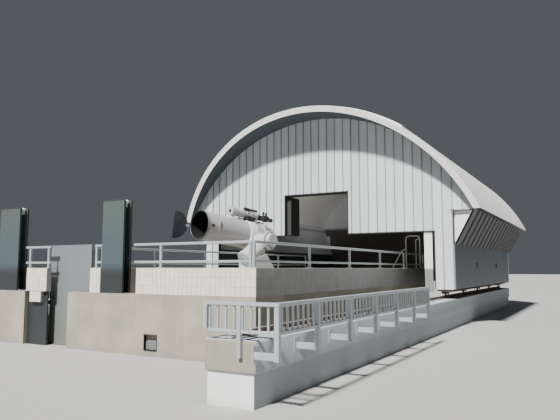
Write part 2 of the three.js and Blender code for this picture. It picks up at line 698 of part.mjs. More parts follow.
// Tube, its cradle, the guide telescope on top and the half lid that stands open beside the mouth
const SADDLE_RIGHT = CROSS_LEFT - 20;
const SADDLE_LOW = -120;
const SADDLE_BACK = 170;
const BAND_FRONT = -250;
const BAND_BACK = -20;
const BAND_THICK = 15;
const CLAMP_FRONT = -240;
const CLAMP_BACK = -90;
const CLAMP_HALF = 90;
const CLAMP_WIDE = 50;
const CELL_DEEP = 420;
const GUIDE_BESIDE = 50;
const GUIDE_UP = 454;
const GUIDE_R = 85;
const GUIDE_FRONT = -706;
const GUIDE_BACK = 630;
const DEW_CAP_R = 105;
const DEW_CAP_LONG = 146;
const HOLE_R = 43;
const LID_THICK = 12;
const HINGE_OUT = TUBE_R + 25;
const HINGE_FRONT = 11;
const KNUCKLE_R = 9;

function tubeAssembly() {
  const tube = new THREE.Group();
  tube.rotation.x = -TUBE_RISE;
  mount.add(tube);
  const axisX = -TUBE_BESIDE;
  const axisZ = TUBE_OVER_PIVOT;
  const onAxis = (geometry) => geometry.translate(axisX, 0, axisZ);
  const hinge = new THREE.Vector3(axisX - HINGE_OUT, TUBE_FRONT - HINGE_FRONT, axisZ);

  const shell = turned([
    [0, TUBE_BACK - 20], [TUBE_R - TUBE_WALL, TUBE_BACK - 20], [TUBE_R - TUBE_WALL, TUBE_FRONT],
    [TUBE_R + 12, TUBE_FRONT], [TUBE_R + 12, TUBE_FRONT + 60], [TUBE_R, TUBE_FRONT + 60],
    [TUBE_R, TUBE_BACK], [0, TUBE_BACK],
  ], 40);
  const ears = [-1, 1].map((side) => box(hinge.x - 8, axisX - TUBE_R, TUBE_FRONT - 20, TUBE_FRONT + 20,
    axisZ + side * EAR - 12, axisZ + side * EAR + 12));
  piece('tube_shell', union(onAxis(shell), ...ears), 'tube_white', tube);

  piece('rear_cell', onAxis(turned([
    [0, TUBE_BACK + GAP], [TUBE_R + 12, TUBE_BACK + GAP], [TUBE_R + 12, TUBE_BACK + 70],
    [TUBE_R - 50, TUBE_BACK + CELL_DEEP - 60], [TUBE_R - 140, TUBE_BACK + CELL_DEEP],
    [0, TUBE_BACK + CELL_DEEP],
  ], 40)), 'tube_white', tube);

  const guideX = axisX + GUIDE_BESIDE;
  const guideZ = axisZ + GUIDE_UP;
  const capBack = GUIDE_FRONT + DEW_CAP_LONG;
  const guide = turned([
    [0, GUIDE_FRONT + 16], [HOLE_R, GUIDE_FRONT + 16], [HOLE_R, GUIDE_FRONT], [DEW_CAP_R, GUIDE_FRONT],
    [DEW_CAP_R, capBack], [GUIDE_R, capBack + 20], [GUIDE_R, 150], [60, 170], [60, 420], [45, 440],
    [45, GUIDE_BACK], [0, GUIDE_BACK],
  ], 24);
  piece('guide_telescope', guide.translate(guideX, 0, guideZ), 'tube_white', tube);

  const band = onAxis(ring(TUBE_R + BAND_THICK, TUBE_R + GAP, BAND_FRONT, BAND_BACK, 40));
  const saddle = box(axisX + TUBE_R - 60, SADDLE_RIGHT, BAND_FRONT, SADDLE_BACK, SADDLE_LOW, axisZ + 60);
  const clamps = [CLAMP_FRONT, CLAMP_BACK].map((y) => box(guideX - CLAMP_HALF, guideX + CLAMP_HALF,
    y, y + CLAMP_WIDE, axisZ + TUBE_R - 30, guideZ + CLAMP_HALF));
  const flange = rod([SADDLE_RIGHT - 0.5, 0, 0], [CROSS_LEFT - GAP, 0, 0], CROSS_R - 10, 32);
  const tubeSpace = onAxis(rod([0, TUBE_FRONT, 0], [0, TUBE_BACK + 100, 0], TUBE_R + GAP, 40));
  const guideSpace = rod([guideX, capBack, guideZ], [guideX, 150, guideZ], GUIDE_R + GAP, 24);
  const cradle = without(union(band, saddle, ...clamps, flange), tubeSpace, guideSpace);
  piece('tube_cradle', cradle, 'tube_white', tube);

  const halfDisc = new THREE.Shape();
  halfDisc.moveTo(0, -LID_R);
  halfDisc.absarc(0, 0, LID_R, -Math.PI / 2, Math.PI / 2, false);
  halfDisc.closePath();
  const disc = new THREE.ExtrudeGeometry(halfDisc,
    { depth: LID_THICK, bevelEnabled: false, curveSegments: 20 });
  disc.rotateX(Math.PI / 2).translate(-HINGE_OUT, LID_THICK / 2, 0);
  const knuckle = rod([0, 0, -KNUCKLE], [0, 0, KNUCKLE], KNUCKLE_R, 12);
  const arm = box(-60, 0, -5, 5, -KNUCKLE, KNUCKLE);
  const lid = union(disc, knuckle, arm).rotateZ(Math.PI - LID_OPEN);
  piece('tube_lid', lid.translate(...hinge.toArray()), 'black', tube);
}

railBeams();
guardFence('right', 1, FRONT_END, true);
guardFence('left', -1, BEAM_FRONT_LEFT + 20, false);
platform();
railings();
stairHoop();
foldedScreen('folded_screen_middle', -920, -370);
foldedScreen('folded_screen_left', -4040, -3390);
gate();
roof();
ridgeCap();
gable();
sideWalls();
runningGear();
doorway();
mountFixed();
mountHead();
tubeAssembly();

const observatory = new THREE.Group();
observatory.add(site);

export default observatory;
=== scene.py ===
import itertools
import json
import math

import bmesh
import bpy
import numpy as np
from mathutils import Matrix, Vector
from mathutils.geometry import tessellate_polygon


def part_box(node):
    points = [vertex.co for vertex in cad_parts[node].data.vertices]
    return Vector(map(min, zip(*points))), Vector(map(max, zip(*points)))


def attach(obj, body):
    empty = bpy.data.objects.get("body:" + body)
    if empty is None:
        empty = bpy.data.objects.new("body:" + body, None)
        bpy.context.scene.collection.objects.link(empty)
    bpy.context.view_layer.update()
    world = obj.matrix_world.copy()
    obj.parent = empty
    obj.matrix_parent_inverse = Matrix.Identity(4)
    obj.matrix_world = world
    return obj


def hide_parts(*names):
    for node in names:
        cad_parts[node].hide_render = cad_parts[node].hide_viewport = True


bl_info = {
    "name": "Rolling-roof observatory",
    "version": (1, 0, 0),
    "blender": (4, 5, 0),
    "location": "3D View > Sidebar > Observatory",
    "description": "Dresses the packed observatory with tiles, ribs, railings, telescope parts and finishes",
    "category": "Object",
}

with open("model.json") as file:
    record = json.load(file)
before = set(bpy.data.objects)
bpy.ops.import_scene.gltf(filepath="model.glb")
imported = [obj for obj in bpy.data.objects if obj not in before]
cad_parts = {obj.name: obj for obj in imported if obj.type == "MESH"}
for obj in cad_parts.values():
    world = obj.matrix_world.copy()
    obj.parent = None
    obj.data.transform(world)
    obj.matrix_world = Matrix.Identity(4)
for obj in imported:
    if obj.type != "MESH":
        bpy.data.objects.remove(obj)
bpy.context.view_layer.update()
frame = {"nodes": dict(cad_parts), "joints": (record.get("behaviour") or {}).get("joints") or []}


def low(node):
    """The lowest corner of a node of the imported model, as an array."""
    return np.array(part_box(node)[0])


def high(node):
    """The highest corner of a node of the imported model, as an array."""
    return np.array(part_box(node)[1])


# Places that several pieces share, from the frame
GABLE_FACE = low("gable_right")[1]
GABLE_FOOT = low("gable_right")[2]
WALL_OUT = high("shelter_wall_right")[0]
KNEE = high("shelter_wall_right")[2]
EAVE = low("roof_vault")[2]
EAVE_HALF = high("roof_vault")[0]
CROWN = high("roof_vault")[2]
RISE = CROWN - EAVE
VAULT_RADIUS = (EAVE_HALF ** 2 + RISE ** 2) / (2 * RISE)
VAULT_CENTRE = CROWN - VAULT_RADIUS
DOOR_HALF = high("gable_over_door")[0]
DOOR_TOP = low("gable_over_door")[2]
TILE_BASE = low("tile_band_front")[2]
JOINTS = {joint["name"]: joint for joint in frame["joints"]}

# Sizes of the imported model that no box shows
VAULT_THICK = 0.14
SOFFIT_RADIUS = VAULT_RADIUS - VAULT_THICK
FRONT_OVERHANG = 0.18
FRONT_RAKE = 0.26
FRONT_BAND = 0.06
FASCIA_DEPTH = 0.165
RIDGE_BACK = 0.3
LOW_DOOR_HALF = 3.55
LOW_DOOR_TOP = 2.57

# Where the first rib stands, and how long the side walls' sheets are
RIB_START = 0.12
SIDE_SHEET = 2.465

# Steps of the curve from eave to eave
ARCH_STEPS = 176


class Shape:
    """Points with faces of four and of three corners. Adding two shapes puts their lists together."""

    def __init__(self, points, quads=(), tris=(), tone=None):
        self.points = np.asarray(points, float).reshape(-1, 3)
        self.quads = np.asarray(quads, int).reshape(-1, 4)
        self.tris = np.asarray(tris, int).reshape(-1, 3)
        self.tone = np.zeros(len(self.points)) if tone is None else np.asarray(tone, float)

    def __add__(self, other):
        start = len(self.points)
        return Shape(
            np.vstack([self.points, other.points]),
            np.vstack([self.quads, other.quads + start]),
            np.vstack([self.tris, other.tris + start]),
            np.concatenate([self.tone, other.tone]),
        )

    def moved(self, *offset):
        return Shape(self.points + np.array(offset), self.quads, self.tris, self.tone)

    def placed(self, matrix):
        """The shape carried by a matrix that only turns and moves."""
        m = np.array(matrix)
        return Shape(self.points @ m[:3, :3].T + m[:3, 3], self.quads, self.tris, self.tone)

    def mirrored(self):
        """The shape on the other side of x = 0, its faces turned round so that they still point out."""
        return Shape(self.points * (-1, 1, 1), self.quads[:, ::-1], self.tris[:, ::-1], self.tone)


def joined(shapes):
    """Several shapes as one."""
    first, *others = shapes
    return sum(others, first)


def grid(points, close_u=False, close_v=False):
    """A sheet over a table of points. Four neighbours make a face, which looks along u crossed with v.
    A closed way joins the last row to the first."""
    nu, nv = points.shape[:2]
    u, v = np.meshgrid(np.arange(nu - (not close_u)), np.arange(nv - (not close_v)), indexing="ij")
    next_u, next_v = (u + 1) % nu, (v + 1) % nv
    quads = np.stack([u * nv + v, next_u * nv + v, next_u * nv + next_v, u * nv + next_v], -1)
    return Shape(points, quads)


def points_at(x, y, z):
    """Points from their three coordinates, each of them a number or an array."""
    return np.stack(np.broadcast_arrays(x, y, z), -1).astype(float)


def slab_faces():
    """The faces of a box with cut edges. Corner c has three points, 3c + k, and k is the side a point lies
    on. Each side has a face of four, each edge a narrow one between two sides, and each corner one of
    three."""
    signs = list(itertools.product((-1, 1), repeat=3))
    place = {s: i for i, s in enumerate(signs)}

    def point(k, side, a, sa, b, sb, on):
        s = [0, 0, 0]
        s[k], s[a], s[b] = side, sa, sb
        return 3 * place[tuple(s)] + on

    quads = []
    for k in range(3):
        a, b = (k + 1) % 3, (k + 2) % 3
        for side in (-1, 1):
            ring = [point(k, side, a, sa, b, sb, k) for sa, sb in ((-1, -1), (1, -1), (1, 1), (-1, 1))]
            quads.append(ring[::side])
        for sa, sb in itertools.product((-1, 1), repeat=2):
            edge = [point(k, end, a, sa, b, sb, on) for end, on in ((-1, a), (1, a), (1, b), (-1, b))]
            quads.append(edge[:: -sa * sb])
    tris = [[3 * i, 3 * i + 1, 3 * i + 2][:: math.prod(s)] for i, s in enumerate(signs)]
    return np.array(signs), np.array(quads), np.array(tris)


CORNER_SIGNS, SLAB_QUADS, SLAB_TRIS = slab_faces()


def slabs(lows, highs, cut=0.003, tone=None):
    """Boxes from lists of lowest and highest corners, their edges cut off by cut. A point is its corner's
    sign times half the size less the cut, plus the cut along the one axis whose side it lies on."""
    lows, highs = np.atleast_2d(np.array(lows, float)), np.atleast_2d(np.array(highs, float))
    lows, highs = np.broadcast_arrays(lows, highs)
    middle, half = (lows + highs) / 2, (highs - lows) / 2
    cut = np.minimum(cut, half.min(1) * 0.45)[:, None, None, None]
    corner = CORNER_SIGNS[None, :, None, :] * (half[:, None, None, :] - cut)
    lift = CORNER_SIGNS[None, :, None, :] * np.eye(3)[None, None, :, :] * cut
    start = 24 * np.arange(len(lows))[:, None, None]
    tones = None if tone is None else np.repeat(tone, 24)
    return Shape(middle[:, None, None, :] + corner + lift, SLAB_QUADS + start, SLAB_TRIS + start, tones)


def blocks(spots, half_x, half_y, foot, top, cut=0.003):
    """Boxes over points: half a width each way in x and in y, and from foot to top above each point."""
    return slabs(spots + (-half_x, -half_y, foot), spots + (half_x, half_y, top), cut)


def basis(axis):
    """Two unit vectors square to an axis and to each other, and the axis, right-handed."""
    axis = np.array(axis, float)
    axis /= np.linalg.norm(axis)
    first = np.cross((0, 0, 1) if abs(axis[2]) < 0.9 else (1, 0, 0), axis)
    first /= np.linalg.norm(first)
    return first, np.cross(axis, first), axis


def lathe(profile, start, axis, sides=48):
    """A profile of radius and distance turned round an axis: start + axis times distance + radius times the
    circle's direction. It runs from the near end to the far end, so that its faces look out."""
    radius, along = np.array(profile, float).T
    first, second, axis = basis(axis)
    turn = np.linspace(0, 2 * math.pi, sides, endpoint=False)
    circle = np.cos(turn)[:, None] * first + np.sin(turn)[:, None] * second
    points = np.array(start, float) + along[None, :, None] * axis + radius[None, :, None] * circle[:, None, :]
    return grid(points, close_u=True)


def rod(start, end, radius, sides=16, cut=0.15):
    """A round bar between two points, its ends cut off by a share of its radius."""
    start, end = np.array(start, float), np.array(end, float)
    length = np.linalg.norm(end - start)
    c = radius * cut
    profile = [(0, 0), (radius - c, 0), (radius, c), (radius, length - c), (radius - c, length), (0, length)]
    return lathe(profile, start, end - start, sides)


def rounded(corners, radius, steps=6):
    """A path of corners with each one rounded: between the two points that lie radius away from a corner
    along its legs, the curve is the quadratic blend of those points and the corner."""
    p = np.array(corners, float)
    before, at, after = p[:-2], p[1:-1], p[2:]
    into, out = before - at, after - at
    into *= radius / np.linalg.norm(into, axis=1, keepdims=True)
    out *= radius / np.linalg.norm(out, axis=1, keepdims=True)
    t = np.linspace(0, 1, steps)[None, :, None]
    a, b, c = (at + into)[:, None], at[:, None], (at + out)[:, None]
    bends = (1 - t) ** 2 * a + 2 * t * (1 - t) * b + t ** 2 * c
    return np.vstack([p[:1], bends.reshape(-1, p.shape[1]), p[-1:]])


def rounded_outline(corners, radius):
    """A closed outline with its corners rounded as in rounded()."""
    p = np.array(corners, float)
    return rounded(np.vstack([p[-1:], p, p[:1]]), radius, steps=4)[1:-1]


def rectangle(x0, z0, x1, z1):
    return [(x0, z0), (x1, z0), (x1, z1), (x0, z1)]


def pipe(path, radius, across, sides=12):
    """A round pipe along a flat path: each point of the path carries a circle in the plane of across, which
    is square to the path's own plane, and of the normal to the path in it. Its ends are closed."""
    path = np.array(path, float)
    along = np.gradient(path, axis=0)
    along /= np.linalg.norm(along, axis=1, keepdims=True)
    across = np.array(across, float) / np.linalg.norm(across)
    normal = np.cross(along, across)[:, None]
    turn = np.linspace(0, 2 * math.pi, sides, endpoint=False)[None, :, None]
    rings = path[:, None] + radius * (np.cos(turn) * across + np.sin(turn) * normal)
    ends = [np.repeat(path[i:i + 1, None], sides, 1) for i in (0, -1)]
    return grid(np.concatenate([ends[0], rings, ends[1]], 0), close_v=True)


def pointing_out(shape):
    """Turns a closed shape's faces round where the volume they enclose comes out negative."""
    q, t = shape.points[shape.quads], shape.points[shape.tris]
    corners = np.concatenate([q[:, [0, 1, 2]], q[:, [0, 2, 3]], t])
    volume = np.einsum("ij,ij->i", corners[:, 0], np.cross(corners[:, 1], corners[:, 2])).sum()
    if volume < 0:
        shape.quads, shape.tris = shape.quads[:, ::-1], shape.tris[:, ::-1]
    return shape


def closed_ends(shape, outline, last):
    """Closes both ends of a carried outline with flat faces, and turns the shape's faces outwards."""
    flat = np.array(tessellate_polygon([[Vector((*p, 0)) for p in outline]]))
    shape.tris = np.vstack([flat, flat[:, ::-1] + len(outline) * last])
    return pointing_out(shape)


def carried(outline, stations):
    """A closed outline of x and z carried along the building. Each station is a place and the share of the
    outline's size that it has there, measured from the outline's middle."""
    outline = np.array(outline, float)
    middle = (outline.min(0) + outline.max(0)) / 2
    places, shares = np.array(stations, float).T
    x, z = np.moveaxis(middle + shares[:, None, None] * (outline - middle), -1, 0)
    return closed_ends(grid(points_at(x, places[:, None], z), close_v=True), outline, len(places) - 1)


def arch(section, half=None):
    """A section carried round the vault. Each corner is a radius, a place along the building and a lean: it
    follows the circle of its radius from eave to eave, or between x = half and -half, and stands forward by
    the lean times its height over the eave."""
    radius, place, lean = np.array(section, float).T
    start = np.arcsin((EAVE - VAULT_CENTRE) / radius) if half is None else np.arccos(half / radius)
    turn = start + (math.pi - 2 * start) * np.linspace(0, 1, ARCH_STEPS + 1)[:, None]
    x, z = radius * np.cos(turn), VAULT_CENTRE + radius * np.sin(turn)
    shape = grid(np.stack([x, place - lean * (z - EAVE), z], -1), close_v=True)
    return closed_ends(shape, list(zip(radius, place)), ARCH_STEPS)


def add_piece(name, shape, body, coat, stands_for=(), sharp=35, merge=True):
    """Makes a piece of the shape: its mesh, finish and body, and hides the nodes that it stands for."""
    mesh = bpy.data.meshes.new(name)
    corners = np.concatenate([shape.quads.ravel(), shape.tris.ravel()])
    starts = np.concatenate([
        4 * np.arange(len(shape.quads)),
        4 * len(shape.quads) + 3 * np.arange(len(shape.tris)),
    ])
    mesh.vertices.add(len(shape.points))
    mesh.vertices.foreach_set("co", shape.points.astype(np.float32).ravel())
    mesh.loops.add(len(corners))
    mesh.loops.foreach_set("vertex_index", corners.astype(np.int32))
    mesh.polygons.add(len(starts))
    mesh.polygons.foreach_set("loop_start", starts.astype(np.int32))
    mesh.update(calc_edges=True)
    if shape.tone.any():
        mesh.attributes.new("tone", "FLOAT", "POINT").data.foreach_set("value", shape.tone.astype(np.float32))
    if merge:
        work = bmesh.new()
        work.from_mesh(mesh)
        bmesh.ops.remove_doubles(work, verts=work.verts, dist=1e-5)
        work.to_mesh(mesh)
        work.free()
    mesh.validate()
    mesh.shade_smooth()
    mesh.set_sharp_from_angle(angle=math.radians(sharp))
    mesh.materials.append(finish(coat))
    piece = bpy.data.objects.new(name, mesh)
    bpy.context.collection.objects.link(piece)
    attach(piece, body)
    if stands_for:
        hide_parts(*stands_for)
    return piece


def add_pieces(body, slot, *rows, merge=True):
    """Makes pieces with one body; the slot is not used. A row is a name, a shape, a finish and the nodes it
    stands for.
    """
    for name, shape, coat, *stands_for in rows:
        add_piece(name, shape, body, coat, stands_for, merge=merge)


def paint(coat, *nodes):
    """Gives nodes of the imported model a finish."""
    for node in nodes:
        mesh = frame["nodes"][node].data
        mesh.materials.clear()
        mesh.materials.append(finish(coat))


class Value:
    """A number that varies over a surface: a node's output, with arithmetic that adds Math nodes."""

    def __init__(self, finish, socket):
        self.finish = finish
        self.socket = socket

    def _math(self, operation, *operands):
        return self.finish.node("ShaderNodeMath", {"operation": operation}, dict(enumerate(operands)))

    def __add__(self, other):
        return self._math("ADD", self, other)

    def __sub__(self, other):
        return self._math("SUBTRACT", self, other)

    def __rsub__(self, other):
        return self._math("SUBTRACT", other, self)

    def __mul__(self, other):
        return self._math("MULTIPLY", self, other)

    def __truediv__(self, other):
        return self._math("DIVIDE", self, other)

    __radd__ = __add__
    __rmul__ = __mul__

    def floored(self):
        return self._math("FLOOR", self)

    def from_nearest(self, pitch):
        """The distance to the nearest whole multiple of a pitch."""
        return self._math("PINGPONG", self, pitch / 2)

    def ramp(self, start, end):
        """0 below start, 1 above end, and smooth between them. Start may be the larger one."""
        if start > end:
            return 1 - self.ramp(end, start)
        return self.finish.node(
            "ShaderNodeMapRange", {"interpolation_type": "SMOOTHSTEP"}, {0: self, 1: start, 2: end})


class Finish:
    """A material in the making: a principled shader, and one method that adds any other node."""

    def __init__(self, name, colour, roughness=0.5, metallic=0.0, **sockets):
        self.material = bpy.data.materials.new(name)
        self.material.use_nodes = True
        self.tree = self.material.node_tree
        self.shader = self.tree.nodes["Principled BSDF"]
        self.material.diffuse_color = (*colour[:3], 1)
        self.give("Base Color", (*colour[:3], 1))
        self.give("Roughness", roughness)
        self.give("Metallic", metallic)
        for socket, value in sockets.items():
            self.give(socket.replace("_", " "), value)

    def feed(self, socket, value):
        if isinstance(value, Value):
            self.tree.links.new(value.socket, socket)
        else:
            socket.default_value = value

    def give(self, socket, value):
        self.feed(self.shader.inputs[socket], value)

    def node(self, kind, settings=None, inputs=None, output=0):
        """Adds a node: first its settings, then the value or link of each numbered or named socket."""
        made = self.tree.nodes.new(kind)
        for setting, value in (settings or {}).items():
            setattr(made, setting, value)
        for key, value in (inputs or {}).items():
            self.feed(made.inputs[key], value)
        return Value(self, made.outputs[output])

    def coordinate(self, letter):
        point = self.node("ShaderNodeTexCoord", output="Object")
        return self.node("ShaderNodeSeparateXYZ", {}, {0: point}, output=letter)

    def facing(self, letter):
        """The part of the surface's normal along one axis."""
        normal = self.node("ShaderNodeNewGeometry", output="Normal")
        return self.node("ShaderNodeSeparateXYZ", {}, {0: normal}, output=letter)

    def noise(self, size, detail=5, stretch=(1, 1, 1)):
        """Cloudy noise from 0 to 1, its patches about size metres across times the stretch on each axis."""
        point = self.node("ShaderNodeTexCoord", output="Object")
        point = self.node("ShaderNodeMapping", {}, {
            "Vector": point, "Scale": [1 / (size * s) for s in stretch]})
        return self.node("ShaderNodeTexNoise", {}, {
            "Vector": point, "Scale": 1.0, "Detail": detail, "Roughness": 0.55})

    def cells(self, value):
        """A random number from 0 to 1 for each whole number."""
        return self.node("ShaderNodeTexWhiteNoise", {"noise_dimensions": "1D"}, {"W": value}, output="Value")

    def tone(self):
        return self.node("ShaderNodeAttribute", {"attribute_name": "tone"}, {}, output="Fac")

    def mix(self, factor, a, b):
        """Colour a where the factor is 0, and b where it is 1."""
        a, b = [c if isinstance(c, Value) else (*c[:3], 1) for c in (a, b)]
        return self.node("ShaderNodeMix", {"data_type": "RGBA"}, {0: factor, 6: a, 7: b}, output=2)

    def shade(self, colour, amount):
        """Makes the surface's colour a colour times 1 + amount."""
        grey = self.node("ShaderNodeCombineXYZ", {}, {0: 1 + amount, 1: 1 + amount, 2: 1 + amount})
        colour = colour if isinstance(colour, Value) else tuple(colour[:3])
        self.give("Base Color", self.node(
            "ShaderNodeVectorMath", {"operation": "MULTIPLY"}, {0: colour, 1: grey}))

    def bump(self, height, distance, strength=1.0):
        """Lets the height, in units of distance, tilt the surface's normal."""
        self.give("Normal", self.node("ShaderNodeBump", {}, {
            "Strength": strength, "Distance": distance, "Height": height}))


def plain(colour, size, tint, detail=5, gloss=None, bump=None, middle=0.5, stretch=(1, 1, 1), **sockets):
    """The maker of a finish in one colour. Clouds of a size make it lighter and darker by tint, add to its
    roughness as the two numbers of gloss say, and tilt its surface as those of bump say."""
    def make(name, colours):
        f = Finish(name, getattr(colours, colour), **sockets)
        clouds = f.noise(size, detail, stretch)
        f.shade(getattr(colours, colour), (clouds - middle) * tint)
        if gloss:
            f.give("Roughness", gloss[0] + clouds * gloss[1])
        if bump:
            f.bump(clouds, *bump)
        return f.material
    return make


def stained_concrete(name, colours):
    """Grey-beige concrete: clouds, dark streaks down its face, darker towards its foot, and fine pits."""
    f = Finish(name, colours.concrete, roughness=0.9)
    clouds = f.noise(0.7, detail=6)
    pits = f.noise(0.012, detail=3)
    streaks = f.noise(0.13, stretch=(1, 1, 14)).ramp(0.56, 0.78)
    foot = f.coordinate("Z").ramp(0.22, 0.0)
    warm = f.mix(clouds.ramp(0.3, 0.7), colours.concrete, colours.concrete_warm)
    f.shade(warm, (clouds - 0.5) * 0.5 + (pits - 0.5) * 0.12 - streaks * 0.2 - foot * 0.12)
    f.bump(pits + clouds * 0.6, 0.004, 0.5)
    return f.material


def beam_concrete(name, colours):
    """Concrete over a white plinth, with water marks under the brackets. Faces other than the front take a
    blue-grey, painted shade.
    """
    f = Finish(name, colours.concrete, roughness=0.88)
    clouds = f.noise(0.8, detail=6)
    pits = f.noise(0.012, detail=3)
    streaks = f.noise(0.11, stretch=(1, 1, 10)).ramp(0.55, 0.8)
    up = f.coordinate("Z")
    forward = f.facing("Y").ramp(-0.3, -0.8)
    # Painted shade: faces other than the front take a blue-grey over both the concrete and the white plinth
    side = f.mix(forward, colours.beam_side, colours.concrete)
    plinth = f.mix(forward, colours.beam_side, colours.white_paint)
    tone = (clouds - 0.5) * 0.24 + (pits - 0.5) * 0.08 - streaks * 0.14 - up.ramp(0.12, 0.0) * 0.15
    f.shade(f.mix(up.ramp(0.378, 0.384), plinth, side), tone)
    f.bump(pits + clouds * 0.5, 0.003, 0.5)
    return f.material


def glazed_tile(name, colours):
    """Cream glazed tile: each tile a little lighter or darker, with a soft gloss, and painted shade in a
    darker grey on faces that look right.
    """
    f = Finish(name, colours.tile, roughness=0.42, Coat_Weight=0.25, Coat_Roughness=0.2)
    clouds = f.noise(0.5)
    specks = f.noise(0.008, detail=2)
    # Painted shade: faces that look right take a darker grey
    face = f.mix(f.facing("X").ramp(0.3, 0.8), colours.tile, colours.tile_side)
    f.shade(face, f.tone() * 0.07 + (clouds - 0.5) * 0.16 + (specks - 0.5) * 0.08)
    f.give("Roughness", 0.36 + clouds * 0.2)
    f.bump(specks, 0.0008, 0.5)
    return f.material


def wall_sheets(f, pitch):
    """The distance from the first rib, a tone for each sheet between two ribs, and rain marks down them."""
    across = f.coordinate("X") - RIB_START
    return across, f.cells((across / pitch).floored()), f.noise(0.05, detail=4, stretch=(1, 1, 22))


def ribbed_cladding(name, colours):
    """Silver-white wall sheets: each sheet between two ribs has its own tone, with rain marks down it, and
    painted shade along each rib.
    """
    f = Finish(name, colours.cladding, roughness=0.42, metallic=0.1)
    pitch = bpy.context.scene.observatory_sizes.rib_pitch
    across, sheet, rain = wall_sheets(f, pitch)
    clouds = f.noise(1.1, detail=4)
    # Painted shade: a dark line on the sheet beside each rib
    seam = across.from_nearest(pitch).ramp(0.026, 0.01)
    f.shade(colours.cladding, (sheet - 0.5) * 0.16 + (rain - 0.5) * 0.12 + (clouds - 0.5) * 0.1 - seam * 0.42)
    f.give("Roughness", 0.34 + rain * 0.2)
    f.bump(f.noise(0.28, detail=2, stretch=(1, 1, 4)), 0.004, 0.35)
    return f.material


def rear_cladding(name, colours):
    """The rear gable's sheets: as on the front outside, and painted shade in dark warm grey low down on the
    room's side.
    """
    f = Finish(name, colours.cladding)
    _, sheet, rain = wall_sheets(f, bpy.context.scene.observatory_sizes.rib_pitch)
    # Painted shade: low down on the room's side the sheets take a dark warm grey
    inside = f.facing("Y").ramp(-0.2, -0.6) * f.coordinate("Z").ramp(3.55, 3.35)
    f.shade(f.mix(inside, colours.cladding, colours.room), (sheet - 0.5) * 0.12 + (rain - 0.5) * 0.12)
    f.give("Roughness", 0.4 + rain * 0.2)
    return f.material


def end_leaf(name, colours):
    """The narrow white door leaf, with painted shade in grey below the height of the platform's tiles."""
    f = Finish(name, colours.white_paint, roughness=0.45)
    clouds = f.noise(0.3, detail=4)
    # Painted shade: grey below the tiles' height
    body = f.mix(f.coordinate("Z").ramp(1.6, 1.5), colours.white_paint, colours.gate_foot)
    f.shade(body, (clouds - 0.5) * 0.1)
    return f.material


def side_cladding(name, colours):
    """The side walls' flat sheets: blue-grey, with a joint every few metres and faint rain marks."""
    f = Finish(name, colours.side_wall, roughness=0.45, metallic=0.2)
    joint = f.coordinate("Y").from_nearest(SIDE_SHEET).ramp(0.006, 0.003)
    rain = f.noise(0.09, detail=4, stretch=(1, 1, 16))
    clouds = f.noise(1.3, detail=4)
    f.shade(colours.side_wall, (rain - 0.5) * 0.12 + (clouds - 0.5) * 0.14 - joint * 0.55)
    f.give("Roughness", 0.36 + rain * 0.2)
    f.bump(clouds * 0.6 - joint, 0.003, 0.6)
    return f.material


def roof_sheet(name, colours):
    """Pale roof sheet: bright, with broad faint clouds and water marks that run down the curve."""
    f = Finish(name, colours.roof, roughness=0.36)
    clouds = f.noise(1.6)
    runs = f.noise(0.12, detail=4, stretch=(9, 1, 9))
    f.shade(colours.roof, (clouds - 0.5) * 0.1 + (runs - 0.5) * 0.07)
    f.give("Roughness", 0.3 + clouds * 0.2)
    f.bump(clouds, 0.01, 0.2)
    return f.material


def dark_fold(name, colours):
    """Near-black folded sheet, dull, and grey as painted light where it faces forward."""
    f = Finish(name, colours.fold, roughness=0.75, Specular_IOR_Level=0.15)
    dust = f.noise(0.2, stretch=(1, 1, 4))
    # Painted light: faces that look forward take a lighter grey
    f.shade(f.mix(f.facing("Y").ramp(-0.05, -0.6), colours.fold, colours.fold_painted_light), (dust - 0.5) * 0.4)
    f.give("Roughness", 0.5 + dust * 0.25)
    return f.material


def satin_steel(name, colours):
    """Satin stainless sheet with a painted reflection: blue-grey above and dark slate towards its foot."""
    f = Finish(name, colours.screen, roughness=0.35, metallic=0.5)
    up = f.coordinate("Z")
    brushed = f.noise(0.004, detail=3, stretch=(1, 1, 60))
    clouds = f.noise(0.5, detail=4)
    # Painted reflection: dark slate below about 1.5 m, blue-grey above, lighter near the top
    body = f.mix(up.ramp(1.42, 1.68), colours.screen_foot,
                 f.mix(up.ramp(1.6, 2.8), colours.screen, colours.screen_top))
    f.shade(body, (clouds - 0.5) * 0.12 + (brushed - 0.5) * 0.05)
    f.give("Roughness", 0.3 + brushed * 0.15)
    f.bump(brushed, 0.0003, 0.4)
    return f.material


def gate_steel(name, colours):
    """The gate's sheet: pale blue-grey above, warmer and lighter towards its foot."""
    f = Finish(name, colours.gate, roughness=0.42, metallic=0.35)
    up = f.coordinate("Z")
    clouds = f.noise(0.6, detail=4)
    scuffs = f.noise(0.05, stretch=(3, 1, 1)).ramp(0.62, 0.8) * up.ramp(0.6, 0.05)
    f.shade(f.mix(up.ramp(0.2, 1.9), colours.gate_foot, colours.gate), (clouds - 0.5) * 0.12 - scuffs * 0.15)
    f.give("Roughness", 0.36 + clouds * 0.15)
    return f.material


def worn_steel(name, colours):
    """Track steel: rust brown, polished along the top of the rail."""
    f = Finish(name, colours.rail_steel, roughness=0.6, metallic=0.6)
    rust = f.noise(0.05, detail=6)
    worn = f.facing("Z").ramp(0.9, 0.98)
    body = f.mix(rust.ramp(0.35, 0.7), colours.rail_steel, colours.rust)
    f.give("Base Color", f.mix(worn * 0.7, body, colours.bare_steel))
    f.give("Roughness", 0.55 + rust * 0.3 - worn * 0.25)
    f.bump(rust, 0.001, 0.6)
    return f.material


